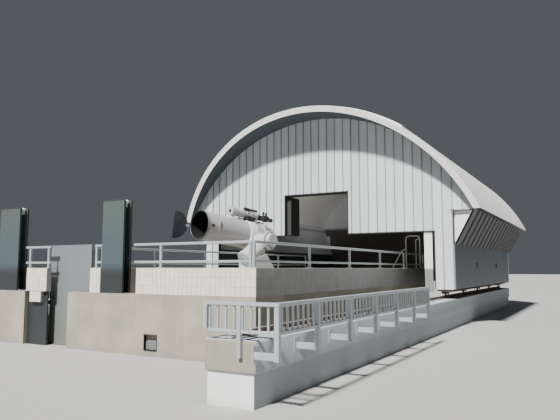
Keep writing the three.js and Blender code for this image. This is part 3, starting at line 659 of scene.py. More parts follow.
def mount_paint(name, colours):
    """Grey-green paint with a fine orange-peel surface over castings."""
    f = Finish(name, colours.mount, roughness=0.42)
    clouds = f.noise(0.2)
    f.shade(colours.mount, (clouds - 0.5) * 0.22)
    f.give("Roughness", 0.36 + clouds * 0.18)
    f.bump(f.noise(0.006, detail=2), 0.0006, 0.6)
    return f.material


def rim_paint(name, colours):
    """The mouth's rolled ring: grey enamel with worn spots, and black on the edge that faces forward."""
    f = Finish(name, colours.rim, roughness=0.4)
    wear = f.noise(0.03, detail=4)
    f.shade(f.mix(f.facing("Y").ramp(-0.6, -0.85), colours.rim, colours.lid), (wear - 0.5) * 0.35)
    f.give("Roughness", 0.32 + wear * 0.25)
    return f.material


def lens_glass(name, colours):
    """Coated lens: a very dark, glossy face with a painted sheen in patches."""
    f = Finish(name, colours.lens, roughness=0.05, Coat_Weight=0.8, Coat_Roughness=0.03)
    # Painted sheen: patches of a lighter blue in the base colour
    f.give("Base Color", f.mix(f.noise(0.05, detail=1), colours.lens_dark, colours.lens_painted_sheen))
    return f.material


MAKERS = {make.__name__: make for make in (
    stained_concrete, beam_concrete, glazed_tile, ribbed_cladding, rear_cladding, end_leaf, side_cladding,
    roof_sheet, dark_fold, satin_steel, gate_steel, worn_steel, mount_paint, rim_paint, lens_glass)}
MAKERS.update(
    mortar=plain("mortar", 0.006, 0.5, 3, bump=(0.002,), roughness=0.95),
    white_paint=plain("white_paint", 0.35, 0.12, gloss=(0.38, 0.2), middle=0.55, roughness=0.45),
    dark_trim=plain("trim", 0.06, 0.35, gloss=(0.4, 0.25), bump=(0.0008, 0.5), metallic=0.3),
    rail_metal=plain("railing", 0.12, 0.16, gloss=(0.34, 0.2), roughness=0.42, metallic=0.45),
    tube_enamel=plain("tube", 0.25, 0.07, 4, gloss=(0.26, 0.12), roughness=0.3,
                      Coat_Weight=0.3, Coat_Roughness=0.15),
    black_part=plain("black", 0.05, 0.8, gloss=(0.38, 0.25), middle=0.4, roughness=0.45),
    lid_paint=plain("lid", 0.12, 0.9, gloss=(0.62, 0.2), roughness=0.7, Specular_IOR_Level=0.2),
    flat_black=plain("lining", 0.003, 0.6, 2, roughness=0.95),
    bare_metal=plain("bare_steel", 0.004, 0.12, 2, gloss=(0.22, 0.2), stretch=(1, 8, 1),
                     roughness=0.3, metallic=0.9),
)


def finish(name):
    """The finish of that name, made on first use."""
    wanted = "finish_" + name
    return bpy.data.materials.get(wanted) or MAKERS[name](wanted, bpy.context.scene.observatory_colours)


def colour(label, red, green, blue):
    """A colour that the panel shows."""
    return bpy.props.FloatVectorProperty(
        name=label, description=f"Colour of the {label.lower()}", subtype="COLOR", size=3,
        min=0, max=1, default=(red, green, blue))


def length(label, description, default):
    """A length that the panel shows."""
    return bpy.props.FloatProperty(
        name=label, description=description, default=default, min=0.001, max=10.0,
        subtype="DISTANCE", unit="LENGTH")


def count(label, description, default, least, most=20):
    """A whole number that the panel shows."""
    return bpy.props.IntProperty(name=label, description=description, default=default, min=least, max=most)


def angle(label, description, degrees):
    """An angle that the panel shows."""
    return bpy.props.FloatProperty(
        name=label, description=description, default=math.radians(degrees), subtype="ANGLE", unit="ROTATION")


def strength(label, description, default):
    """A light's strength."""
    return bpy.props.FloatProperty(name=label, description=description, default=default, min=0)


class ObservatoryColours(bpy.types.PropertyGroup):
    """Colours of the finishes, in linear light."""

    concrete: colour("Concrete", 0.275, 0.262, 0.215)
    concrete_warm: colour("Warm patches of the concrete", 0.33, 0.30, 0.235)
    tile: colour("Tiles", 0.70, 0.66, 0.54)
    # Painted shade: a darker grey for the tiles' faces that look right
    tile_side: colour("Tiles that face right", 0.30, 0.295, 0.29)
    # Painted shade: a blue-grey for the beams' faces other than the front
    beam_side: colour("Sides of the beams", 0.40, 0.435, 0.46)
    mortar: colour("Mortar", 0.42, 0.39, 0.33)
    white_paint: colour("White paint", 0.74, 0.75, 0.75)
    cladding: colour("Gable sheets", 0.56, 0.60, 0.635)
    # Painted shade: a dark warm grey low on the rear wall's room side
    room: colour("Rear wall inside the room", 0.085, 0.075, 0.065)
    side_wall: colour("Side walls", 0.062, 0.085, 0.102)
    roof: colour("Roof", 0.90, 0.91, 0.91)
    fold: colour("Folded upper walls", 0.009, 0.0095, 0.01)
    # Painted light: a grey for the folds' faces that look forward
    fold_painted_light: colour("Folded upper walls facing forward", 0.22, 0.225, 0.235)
    trim: colour("Dark trim", 0.045, 0.047, 0.05)
    # Painted reflection: the screens' three colours stand in for what the steel reflects
    screen: colour("Screens", 0.095, 0.13, 0.15)
    screen_top: colour("Screens near their top", 0.12, 0.155, 0.15)
    screen_foot: colour("Screens near their foot", 0.046, 0.053, 0.056)
    gate: colour("Gate", 0.215, 0.25, 0.275)
    # The end door leaf takes this colour below the tiles' height as painted shade
    gate_foot: colour("Gate near its foot", 0.19, 0.205, 0.19)
    railing: colour("Railings", 0.46, 0.50, 0.53)
    rail_steel: colour("Track steel", 0.16, 0.14, 0.13)
    rust: colour("Rust", 0.20, 0.10, 0.055)
    bare_steel: colour("Bare metal", 0.55, 0.56, 0.57)
    tube: colour("Telescope tube", 0.42, 0.41, 0.44)
    mount: colour("Telescope mount", 0.46, 0.49, 0.50)
    black: colour("Black parts", 0.018, 0.019, 0.022)
    lining: colour("Lining of the tube", 0.004, 0.004, 0.004)
    lens: colour("Lens", 0.01, 0.012, 0.02)
    lens_dark: colour("Dark part of the lens", 0.008, 0.01, 0.02)
    # Painted sheen: the lighter patches on the lens
    lens_painted_sheen: colour("Sheen of the lens", 0.02, 0.03, 0.05)
    lid: colour("Lid", 0.009, 0.012, 0.018)
    rim: colour("Rim of the mouth", 0.24, 0.245, 0.25)
    floor: colour("Studio floor", 0.40, 0.40, 0.395)
    sky: colour("Studio light", 0.80, 0.86, 0.95)


class ObservatorySizes(bpy.types.PropertyGroup):
    """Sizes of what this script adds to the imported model."""

    rib_pitch: length("Rib pitch", "From one standing rib of the gable to the next", 0.26)
    rib_high: length("Rib height", "How far the gable's ribs stand out", 0.036)
    rib_wide: length("Rib width", "Thickness of the gable's ribs", 0.018)
    fold_pitch: length("Fold pitch", "From one fold of the upper side walls to the next", 0.616)
    fold_deep: length("Fold depth", "How far the folds stand out", 0.09)
    tile_wide: length("Tile width", "Width of one tile with its joint", 0.10)
    tile_rows: count("Tile rows", "Rows of tiles in the band", 3, 1, 12)
    tile_thick: length("Tile thickness", "Thickness of a tile", 0.009)
    tile_joint: length("Tile joint", "Width of the mortar joints", 0.005)
    plinth_high: length("Plinth height", "Height of the beams' white plinth", 0.385)
    plinth_inset: length("Plinth inset", "How far the plinth stands back under the beam", 0.03)
    clip_pitch: length("Clip pitch", "From one rail clip to the next", 0.75)


class OBSERVATORY_OT_rail_beams(bpy.types.Operator):
    """Rounded beams on a plinth, and the rails with their clips"""

    bl_idname = "observatory.rail_beams"
    bl_label = "Rail beams"

    def execute(self, context):
        sizes = context.scene.observatory_sizes
        inset, plinth = sizes.plinth_inset, sizes.plinth_high
        softened = [(0, 0.94), (0.008, 0.98), (0.022, 1)]
        half_web, half_head, clip_out = 0.009, 0.028, 0.058
        for side in ("right", "left"):
            node = f"rail_beam_{side}"
            (x0, y0, z0), (x1, y1, z1) = low(node), high(node)
            foot = carried(rectangle(x0 + inset, z0, x1 - inset, plinth), [(y0 + inset, 1), (y1 - inset, 1)])
            stations = [(y0 + d, share) for d, share in softened]
            stations += [(y1 - d, share) for d, share in softened[::-1]]
            body = carried(rounded_outline(rectangle(x0, plinth, x1, z1), 0.02), stations)
            add_pieces("base", "concrete", (f"beam_{side}", foot + body, "beam_concrete", node))

            node = f"rail_{side}"
            (x0, y0, z0), (x1, y1, z1) = low(node), high(node)
            middle, half_foot = (x0 + x1) / 2, (x1 - x0) / 2
            half = [(half_foot, 0), (half_foot, 0.008), (half_web, 0.02), (half_web, 0.05),
                    (half_head, 0.058), (half_head, 0.076), (half_head - 0.006, 0.08)]
            outline = [(middle + x, z0 + z) for x, z in half + [(-x, z) for x, z in half[::-1]]]
            at = np.arange(y0 + 0.3, y1 - 0.2, sizes.clip_pitch)
            spots = np.vstack([points_at(middle + x, at, z0) for x in (-clip_out, clip_out)])
            clips = blocks(spots, 0.028, 0.035, 0.005, 0.026, 0.004)
            clips += blocks(spots, 0.012, 0.012, 0.024, 0.04)
            add_pieces("base", "rail_steel",
                       (f"running_rail_{side}", carried(outline, [(y0, 1), (y1, 1)]), "worn_steel", node),
                       (f"rail_clips_{side}", clips, "worn_steel"))
        return {"FINISHED"}


class OBSERVATORY_OT_guard_fences(bpy.types.Operator):
    """Fences on bracket arms along the beams, with flat rails, wide posts and thin balusters"""

    bl_idname = "observatory.guard_fences"
    bl_label = "Guard fences"

    bays: count("Bays", "Bays along each beam", 6, 1)
    per_bay: count("Balusters", "Spaces between the balusters of one bay", 8, 2)

    def side(self, node, returned):
        """One fence for the right-hand side, from the front end of its node to the rear end. A returned one
        turns the corner at its front end and stands on a post there."""
        (x0, front, foot), (x1, rear, top) = low(node), high(node)
        x = max(abs(x0), abs(x1)) - 0.04
        inner_face, beam_front, _ = low("rail_beam_right")
        face = high("rail_beam_right")[0]
        low_rail, top_thick, post_gap, plate_gap = 0.83, 0.045, 0.038, 0.072
        posts = np.clip(np.linspace(front, rear, self.bays + 1), front + post_gap, rear - post_gap)
        column = points_at(x, posts, foot)
        arm = points_at(face, posts, foot)
        plate = points_at(face, np.clip(posts, front + plate_gap, rear - plate_gap), foot)

        def balusters(x, y):
            return blocks(points_at(x, y, 0), 0.012, 0.012, low_rail + 0.02, top - 0.03)

        along = (np.arange(self.bays)[:, None] + np.arange(1, self.per_bay) / self.per_bay).ravel()
        fence = joined([
            slabs((x - 0.04, front, top - top_thick), (x + 0.04, rear, top), 0.007),
            slabs((x - 0.02, front + 0.02, low_rail), (x + 0.02, rear - 0.02, low_rail + 0.04), 0.004),
            blocks(column, 0.03, 0.03, 0, top - 0.02 - foot, 0.005),
            slabs(arm - (0, 0.025, 0), arm + (x - face, 0.025, 0.08), 0.005),
            slabs(plate - (0, 0.07, 0.05), plate + (0.012, 0.07, 0.14)),
            blocks(column, 0.034, 0.034, -0.006, 0.004, 0.002),
            balusters(x, front + along * (rear - front) / self.bays),
        ])
        if not returned:
            return fence
        inner = inner_face + 0.02
        first, post = inner + 0.075, (inner + x) / 2
        return joined([
            fence,
            slabs((inner + 0.05, front, top - top_thick), (x - 0.03, front + 0.08, top - 0.001), 0.007),
            slabs((inner, front, low_rail + 0.02), (inner + 0.05, front + 0.08, top - 0.004), 0.007),
            slabs((first - 0.03, front + 0.02, low_rail), (x, front + 0.055, low_rail + 0.04), 0.004),
            balusters(first + np.arange(self.per_bay) * (x - first) / self.per_bay, front + 0.036),
            slabs((post - 0.025, front + 0.005, foot), (post + 0.025, beam_front, top - 0.02), 0.005),
        ])

    def execute(self, context):
        right = self.side("guard_fence_right", True)
        left = self.side("guard_fence_left", False).mirrored()
        add_pieces("base", "railing_metal", ("fence_right", right, "rail_metal", "guard_fence_right"),
                   ("fence_left", left, "rail_metal", "guard_fence_left"), merge=False)
        return {"FINISHED"}


def recessed_wall(node, niche, deep):
    """A node's box whose front has a niche: the front is a grid over cut lines in x and z, doubled at the
    niche's edges, and the points between the doubled lines lie deeper."""
    lo, hi = low(node), high(node)
    x0, z0, x1, z1 = niche
    x, z = np.meshgrid([lo[0], x0, x0, x1, x1, hi[0]], [lo[2], z0, z0, z1, z1, hi[2]], indexing="ij")
    inside = np.zeros((6, 6), bool)
    inside[2:4, 2:4] = True
    front = grid(np.stack([x, np.where(inside, lo[1] + deep, lo[1]), z], -1))
    x, z = np.array(rectangle(lo[0], lo[2], hi[0], hi[2])).T
    back = grid(np.array([points_at(x, y, z) for y in (hi[1], lo[1])]), close_v=True)
    back.quads = np.vstack([back.quads, [[3, 2, 1, 0]]])
    return front + back


class OBSERVATORY_OT_platform_walls(bpy.types.Operator):
    """Concrete walls and floor, with the niche low in the front wall"""

    bl_idname = "observatory.platform_walls"
    bl_label = "Platform walls"

    def execute(self, context):
        x0, z0, x1, z1 = niche = (0.22, 0.11, 0.50, 0.37)
        deep, rim = 0.09, 0.018
        y = low("front_wall")[1]
        bars = np.array([(x0 - rim, z0 - rim, x1 + rim, z0), (x0 - rim, z1, x1 + rim, z1 + rim),
                         (x0 - rim, z0, x0, z1), (x1, z0, x1 + rim, z1)]).T
        niche_frame = slabs(points_at(bars[0], y - 0.006, bars[1]),
                            points_at(bars[2], y + 0.05, bars[3]), 0.002)
        plate = slabs((x0 + 0.004, y + 0.04, z0 + 0.004),
                      (x1 - 0.004, y + 0.052, (z0 + z1) / 2 + 0.02), 0.002)
        wall = recessed_wall("front_wall", niche, deep)
        add_pieces("base", "concrete",
                   ("wall_with_niche", wall, "stained_concrete", "front_wall"),
                   ("niche_frame", niche_frame, "dark_trim"),
                   ("niche_plate", plate, "gate_steel"))
        paint("stained_concrete", "front_wall_beside_gate", "side_wall_right", "side_wall_left", "rear_wall",
              "platform_floor")
        return {"FINISHED"}


def face_tiles(lo, hi, axis, side, across, sizes, seed):
    """Tiles on one face of a box. The face is cut into equal cells, across of them on its second way, and
    each cell holds a tile smaller by the joint."""
    first, second = [k for k in range(3) if k != axis]
    thick, joint = sizes.tile_thick, sizes.tile_joint
    start, end = lo.copy(), hi.copy()
    if axis != 2:
        end[2] -= thick
    if axis == 0:
        start[1] += thick
        end[1] -= thick
    if axis == 2 and hi[1] - lo[1] > hi[0] - lo[0]:
        first, second = second, first
    along = max(1, round((end[first] - start[first]) / sizes.tile_wide))
    i, j = [m.ravel() for m in np.meshgrid(np.arange(along), np.arange(across), indexing="ij")]
    lows, highs = np.zeros((2, len(i), 3))
    for k, cell, cells in ((first, i, along), (second, j, across)):
        step = (end[k] - start[k]) / cells
        lows[:, k] = start[k] + cell * step + joint / 2
        highs[:, k] = start[k] + (cell + 1) * step - joint / 2
    outer = hi[axis] if side > 0 else lo[axis]
    lows[:, axis], highs[:, axis] = sorted((outer, outer - side * thick))
    return slabs(lows, highs, 0.0016, np.random.default_rng(seed).uniform(-1, 1, len(i)))


class OBSERVATORY_OT_tiles(bpy.types.Operator):
    """Single tiles over a core of mortar on every band and pier"""

    bl_idname = "observatory.tiles"
    bl_label = "Tiles"

    def execute(self, context):
        sizes = context.scene.observatory_sizes
        under = sizes.tile_thick * 0.35
        front, sides, top, rear = [(1, -1)], [(0, -1), (0, 1)], [(2, 1)], [(1, 1)]
        all_round = front + rear + sides + top

        def tiled(lo, hi, faces, rows, rows_on_top, seed):
            return joined([face_tiles(lo, hi, axis, side, rows_on_top if axis == 2 else rows, sizes, seed + k)
                           for k, (axis, side) in enumerate(faces)])

        bands = {"band_front": all_round, "band_right": sides + top, "band_left": sides + top + front,
                 "band_rear": all_round, "pier": all_round}
        for number, (name, faces) in enumerate(bands.items()):
            lo, hi = low(f"tile_{name}"), high(f"tile_{name}")
            add_pieces("base", "tile",
                       (f"tiles_{name}", tiled(lo, hi, faces, sizes.tile_rows, 2, 10 * number), "glazed_tile",
                        f"tile_{name}"),
                       (f"mortar_tile_{name}", slabs(lo + (under, under, 0), hi - under, 0.001), "mortar"),
                       merge=False)

        lo, hi = low("tile_pier_left"), high("tile_pier_left")
        lows = np.array([(lo[0], lo[1], TILE_BASE), lo + (0.12, 0, 0)])
        highs = np.array([hi, (lo[0] + 0.46, lo[1] + 0.0847, TILE_BASE)])
        pier = tiled(lows[0], highs[0], all_round, 3, 1, 90)
        pier += tiled(lows[1], highs[1], front + sides, 1, 1, 97)
        add_pieces("base", "tile",
                   ("tiles_side_pier", pier, "glazed_tile", "tile_pier_left"),
                   ("mortar_side_pier", slabs(lows + (under, under, 0), highs - under, 0.001), "mortar"),
                   merge=False)
        return {"FINISHED"}


def rail_run(node, first, last, number):
    """One railing over a node's box: a flat top rail, a bottom rail, and posts on foot plates with bolts. The
    posts stand evenly between a first and a last distance from its ends."""
    lo, hi = low(node), high(node)
    along = 1 if hi[1] - lo[1] > hi[0] - lo[0] else 0
    middle = (lo[1 - along] + hi[1 - along]) / 2

    def bar(end_gap, half, z0, z1, cut):
        start, end = np.full(3, middle - half), np.full(3, middle + half)
        start[[along, 2]] = lo[along] + end_gap, z0
        end[[along, 2]] = hi[along] - end_gap, z1
        return slabs(start, end, cut)

    foot = np.full((number, 3), middle)
    foot[:, along] = np.linspace(lo[along] + first, hi[along] - last, number)
    foot[:, 2] = lo[2]
    corner = np.array([(x, y, 0.006) for x in (-0.034, 0.034) for y in (-0.034, 0.034)])
    return joined([
        bar(0, 0.035, hi[2] - 0.045, hi[2], 0.008),
        bar(0.005, 0.023, lo[2] + 0.09, lo[2] + 0.13, 0.005),
        blocks(foot, 0.022, 0.022, 0, hi[2] - lo[2] - 0.02, 0.004),
        blocks(foot, 0.045, 0.045, 0, 0.008, 0.002),
        blocks((foot[:, None] + corner).reshape(-1, 3), 0.006, 0.006, 0, 0.008, 0.002),
    ])


class OBSERVATORY_OT_railings(bpy.types.Operator):
    """Railings on the tile bands"""

    bl_idname = "observatory.railings"
    bl_label = "Railings"

    def execute(self, context):
        end, front_post = 0.03, 0.49
        posts = {"front": (front_post - low("railing_front")[0], end, 2), "right": (end, end, 6),
                 "left": (end, end, 6), "pier": (end, end, 2), "side_pier": (0.125, 0.075, 2)}
        for name, places in posts.items():
            node = f"railing_{name}"
            rails = rail_run(node, *places)
            add_pieces("base", "railing_metal", (f"rails_{name}", rails, "rail_metal", node), merge=False)
        return {"FINISHED"}


class OBSERVATORY_OT_screens(bpy.types.Operator):
    """Folded screens: two steel leaves with rims, hinges between them, a roller on top and a foot bolt"""

    bl_idname = "observatory.screens"
    bl_label = "Folded screens"

    def execute(self, context):
        for name in ("middle", "left"):
            node = f"folded_screen_{name}"
            (x0, y0, z0), (x1, y1, z1) = low(node), high(node)
            leaf, hinge = 0.05, y0 + 0.115
            back = y1 - leaf
            panels = slabs([(x0, y0, z0), (x0, back, z0 + 0.015)],
                           [(x1, y0 + leaf, z1), (x1, y1, z1 - 0.015)], 0.004)
            rims = slabs(
                [(x0 + 0.004, y0 - 0.003, z1 - 0.028), (x0 + 0.004, y0 - 0.003, z0),
                 (x1 - 0.012, y0 + 0.012, z0 + 0.004), (x1 - 0.012, back + 0.012, z0 + 0.02)],
                [(x1 - 0.004, y0 + leaf + 0.002, z1), (x1 - 0.004, y0 + 0.004, z0 + 0.02),
                 (x1 + 0.001, y0 + 0.038, z1 - 0.03), (x1 + 0.001, back + 0.038, z1 - 0.03)], 0.001)
            heights = np.linspace(z0 + 0.25, z1 - 0.25, 4)
            hinges = joined([rod((x0 + 0.02, hinge, z - 0.06), (x0 + 0.02, hinge, z + 0.06), 0.012)
                             for z in heights])
            hinges += slabs(points_at(x0 + 0.004, y0 + 0.045, heights - 0.05),
                            points_at(x0 + 0.036, back + 0.005, heights + 0.05))
            wheel = np.array([x1 - 0.05, hinge, z1 - 0.045])
            roller = rod(wheel - (0, 0.03, 0), wheel + (0, 0.03, 0), 0.036, 20, 0.2)
            roller += slabs(wheel - (0.014, 0.075, 0.03), wheel + (0.014, -0.035, 0.02))
            bolt = rod((x1 - 0.03, y0 + 0.06, z0), (x1 - 0.03, y0 + 0.06, z0 + 0.3), 0.009)
            add_pieces("base", "screen_metal", (f"screen_{name}", panels, "satin_steel", node),
                       (f"screen_rims_{name}", rims, "dark_trim"), merge=False)
            add_pieces("base", "screen_metal", (f"screen_hinges_{name}", hinges, "rail_metal"),
                       (f"screen_roller_{name}", roller, "white_paint"),
                       (f"screen_bolts_{name}", bolt, "rail_metal"))
        return {"FINISHED"}


class OBSERVATORY_OT_gate(bpy.types.Operator):
    """The sliding gate leaf with its seam, pull, rollers and track, and the metal panel beside it"""

    bl_idname = "observatory.gate"
    bl_label = "Gate"

    def execute(self, context):
        (x0, y0, z0), (x1, y1, z1) = low("gate_leaf"), high("gate_leaf")
        seam, pull_at, pull_high, roller_high = x0 + 0.2, x0 + 0.13, 0.95, 0.04
        leaf = slabs([(x0, y0 + 0.006, z0), (seam + 0.002, y0, z0)], [(seam, y1, z1), (x1, y1, z1)])
        pull = rod((pull_at, y0 - 0.018, pull_high), (pull_at, y0 + 0.01, pull_high), 0.028, 20, 0.3)
        rollers = joined([rod((x, y0 + 0.012, roller_high), (x, y1 - 0.012, roller_high), 0.019)
                          for x in (x0 + 0.15, x1 - 0.15)])
        add_pieces("gate", "screen_metal", ("gate_sheet", leaf, "gate_steel", "gate_leaf"), merge=False)
        add_pieces("gate", "screen_metal", ("gate_pull", pull, "dark_trim"),
                   ("gate_rollers", rollers, "worn_steel"))
        paint("worn_steel", "gate_track")
        # The side panel takes the screens' finish, and with it their painted reflection, dark slate at its
        # height
        paint("satin_steel", "side_panel")
        return {"FINISHED"}


class OBSERVATORY_OT_stair_hoop(bpy.types.Operator):
    """White pipe hoop at the head of the rear steps, with the post inside it and the handrail"""

    bl_idname = "observatory.stair_hoop"
    bl_label = "Stair hoop"

    def execute(self, context):
        lo, hi = low("stair_hoop"), high("stair_hoop")
        radius, thin = 0.022, 0.017
        foot, top = lo[2], hi[2] - radius
        right, far = hi[0] - radius, lo[0] + thin
        hoop_wide, post_in = 0.45, 0.32
        bar_high, bar_inner, rail_high, rail_bend = 2.5, 2.47, 2.19, 2.11
        left = right - hoop_wide
        inner = left + post_in
        y = (lo[1] + hi[1]) / 2
        flange = [(0, 0), (0.045, 0), (0.045, 0.006), (0.03, 0.01), (0, 0.01)]

        def bent(corners, bend, radius):
            return pipe(rounded([(x, y, z) for x, z in corners], bend), radius, (0, 1, 0))

        hoop = joined([
            bent([(left, foot), (left, top), (right, top), (right, foot)], 0.12, radius),
            bent([(inner, foot), (inner, bar_inner), (right, bar_high)], 0.03, thin),
            bent([(left, rail_high), (left - 0.15, rail_bend), (far, foot)], 0.06, thin),
            *[lathe(flange, (x, y, foot - 0.0003), (0, 0, 1), 24) for x in (left, inner, right)],
        ])
        add_pieces("base", "white_paint", ("hoop_and_handrail", hoop, "white_paint", "stair_hoop"))
        return {"FINISHED"}


class OBSERVATORY_OT_roof(bpy.types.Operator):
    """The vault as a smooth arch, its raised crown, the front band, and dark trims along its edges"""

    bl_idname = "observatory.roof"
    bl_label = "Roof"

    def execute(self, context):
        rear, rake = high("roof_vault")[1], FRONT_RAKE
        edge = GABLE_FACE - FRONT_OVERHANG
        seam, cap_edge = edge + FRONT_BAND, edge + RIDGE_BACK
        out, inner, band_in = VAULT_RADIUS, SOFFIT_RADIUS, VAULT_RADIUS - FASCIA_DEPTH
        raised = high("ridge_cap")[2] - CROWN + out
        cap_half, eave_wide = high("ridge_cap")[0] - 0.03, 0.165

        def strip(r0, r1, y0, y1, lean=rake):
            return arch([(r0, y0, rake), (r1, y0, rake), (r1, y1, lean), (r0, y1, lean)])

        vault = arch([(out, seam + 0.002, rake), (out, rear - 0.004, 0), (out - 0.004, rear, 0),
                      (inner, rear, 0), (inner, seam + 0.002, rake)])
        band = arch([(out - 0.006, edge, rake), (out, edge + 0.006, rake), (out, seam, rake),
                     (band_in, seam, rake), (band_in, edge + 0.004, rake), (band_in + 0.004, edge, rake)])
        cap = arch([(raised - 0.006, cap_edge, rake), (raised, cap_edge + 0.006, rake), (raised, rear, 0),
                    (out + 0.001, rear, 0), (out + 0.001, cap_edge, rake)], cap_half)
        lining = strip(inner - 0.006, inner - 0.001, seam + 0.03, GABLE_FACE, 0)
        add_pieces(
            "shelter", "roof_sheet",
            ("vault", vault, "roof_sheet", "roof_vault"),
            ("front_band", band, "white_paint", "front_fascia"),
            ("drip_line", strip(out - 0.003, out, seam - 0.006, seam + 0.01), "dark_trim"),
            ("band_lip", strip(band_in - 0.006, band_in, edge + 0.004, seam + 0.02), "dark_trim"),
            ("soffit_lining", lining, "side_cladding"),
            ("crown_cap", cap, "roof_sheet", "ridge_cap"))
        eaves = slabs(points_at((EAVE_HALF - eave_wide, -EAVE_HALF), seam, EAVE - 0.012),
                      points_at((EAVE_HALF, eave_wide - EAVE_HALF), rear, EAVE + 0.004), 0.002)
        add_pieces("shelter", "roof_sheet", ("eave_trims", eaves, "dark_trim"), merge=False)
        return {"FINISHED"}


def ribs(xs, foot, y_out, y_in, wide):
    """Upright ribs from foot up to the vault's underside at each x, between two planes. The underside's
    height is the vault's centre plus the root of its inner radius squared less x squared."""
    top = VAULT_CENTRE + np.sqrt(SOFFIT_RADIUS ** 2 - (np.abs(xs) + wide) ** 2) - 0.004
    return slabs(points_at(xs - wide / 2, y_out, foot), points_at(xs + wide / 2, y_in, top), 0.002)


class OBSERVATORY_OT_gables(bpy.types.Operator):
    """Standing ribs on both gables, and the finishes of their sheets"""

    bl_idname = "observatory.gables"
    bl_label = "Gables"

    def execute(self, context):
        sizes = context.scene.observatory_sizes
        paint("ribbed_cladding", "gable_over_door", "gable_right", "gable_left")
        paint("rear_cladding", "rear_gable")
        xs = RIB_START + sizes.rib_pitch * np.arange(-18, 18)
        xs = xs[np.abs(xs) < WALL_OUT - 0.01]
        foot = np.select([np.abs(xs) < DOOR_HALF, np.abs(xs) < LOW_DOOR_HALF],
                         [DOOR_TOP, LOW_DOOR_TOP], GABLE_FOOT)
        rear = high("rear_gable")[1]
        front_ribs = ribs(xs, foot + 0.01, GABLE_FACE - sizes.rib_high, GABLE_FACE + 0.002, sizes.rib_wide)
        rear_ribs = ribs(xs, GABLE_FOOT + 0.01, rear - 0.002, rear + 0.028, sizes.rib_wide)
        add_pieces("shelter", "cladding", ("gable_ribs", front_ribs, "ribbed_cladding"),
                   ("rear_gable_ribs", rear_ribs, "ribbed_cladding"), merge=False)
        return {"FINISHED"}


class OBSERVATORY_OT_side_walls(bpy.types.Operator):
    """Folded dark sheet on the leaning upper walls, corner plates with their trims, and the door handles"""

    bl_idname = "observatory.side_walls"
    bl_label = "Side walls"

    def folded_sheet(self, sizes):
        """The right-hand sheet: stations along the wall, in turn near the wall's plane and a fold out from
        it, each with four points. Its lower edge lies on the upright wall and its upper edge under the
        eave."""
        front, rear = low("shelter_wall_right")[1], high("shelter_wall_right")[1]
        folds = round((rear - front) / sizes.fold_pitch)
        along = (np.arange(folds)[:, None] + [0.0, 0.36, 0.44, 0.92]) / folds
        y = np.append(front + along.ravel() * (rear - front), rear)
        out = np.append(np.tile([0, 0, sizes.fold_deep, sizes.fold_deep], folds), 0) + 0.004
        plane = np.repeat([WALL_OUT, high("corner_gusset_right")[0]], 2)
        x = plane + out[:, None] * [0, 1, 1, 0]
        sheet = grid(points_at(x, y[:, None], np.repeat([KNEE + 0.002, EAVE - 0.006], 2)))
        here = 4 * np.arange(len(y) - 1)
        inner = np.stack([here + 3, here + 7, here + 4, here], -1)
        sheet.quads = np.vstack([sheet.quads, [0, 1, 2, 3], len(y) * 4 - 4 + np.array([3, 2, 1, 0]), inner])
        return pointing_out(sheet)

    def execute(self, context):
        paint("side_cladding", "shelter_wall_right", "shelter_wall_left")
        paint("ribbed_cladding", "flared_wall_right", "flared_wall_left")
        paint("white_paint", "corner_gusset_right", "corner_gusset_left")
        sheet = self.folded_sheet(context.scene.observatory_sizes)
        for side, shape in (("right", sheet), ("left", sheet.mirrored())):
            add_piece(f"folded_sheet_{side}", shape, "shelter", "dark_fold", sharp=20)
        bars = slabs(
            [(WALL_OUT - 0.012, GABLE_FACE - 0.004, KNEE),
             (WALL_OUT - 0.02, GABLE_FACE - 0.006, EAVE - 0.028),
             (WALL_OUT - 0.05, GABLE_FACE - 0.012, EAVE - 0.09)],
            [(WALL_OUT + 0.012, low("corner_gusset_right")[1], EAVE - 0.004),
             (EAVE_HALF - 0.18, GABLE_FACE + 0.02, EAVE - 0.004),
             (WALL_OUT + 0.03, GABLE_FACE + 0.004, EAVE + 0.02)],
            0.002)
        handle_y, handle_z = np.array([3.0, 6.7]), np.array([1.55, 1.56])
        handles = slabs(points_at(WALL_OUT - 0.002, handle_y, handle_z),
                        points_at(WALL_OUT + 0.022, handle_y + 0.04, handle_z + 0.18), 0.004)
        add_pieces("shelter", "cladding", ("corner_trim_right", bars, "dark_trim"),
                   ("corner_trim_left", bars.mirrored(), "dark_trim"),
                   ("door_handles_right", handles, "dark_trim"), merge=False)
        return {"FINISHED"}


class OBSERVATORY_OT_doorway(bpy.types.Operator):
    """Steel trim round the stepped opening, the door's track and its folded leaves"""

    bl_idname = "observatory.doorway"
    bl_label = "Doorway"

    def execute(self, context):
        y0, y1 = GABLE_FACE - 0.012, GABLE_FACE + 0.11
        wide, lap = 0.03, 0.001
        right = slabs(
            [(DOOR_HALF - lap, y0, LOW_DOOR_TOP - wide), (DOOR_HALF - wide, y0, LOW_DOOR_TOP - wide),
             (LOW_DOOR_HALF - wide, y0, GABLE_FOOT)],
            [(LOW_DOOR_HALF, y1, LOW_DOOR_TOP + lap), (DOOR_HALF + lap, y1, DOOR_TOP),
             (LOW_DOOR_HALF + lap, y1, LOW_DOOR_TOP)])
        lintel = slabs((-DOOR_HALF, y0, DOOR_TOP - wide), (DOOR_HALF, y1, DOOR_TOP + lap))
        add_pieces("shelter", "cladding", ("opening_trim", right + right.mirrored() + lintel, "dark_trim"),
                   merge=False)
        paint("dark_trim", "door_track", "folded_door")
        paint("end_leaf", "door_end_leaf")
        return {"FINISHED"}


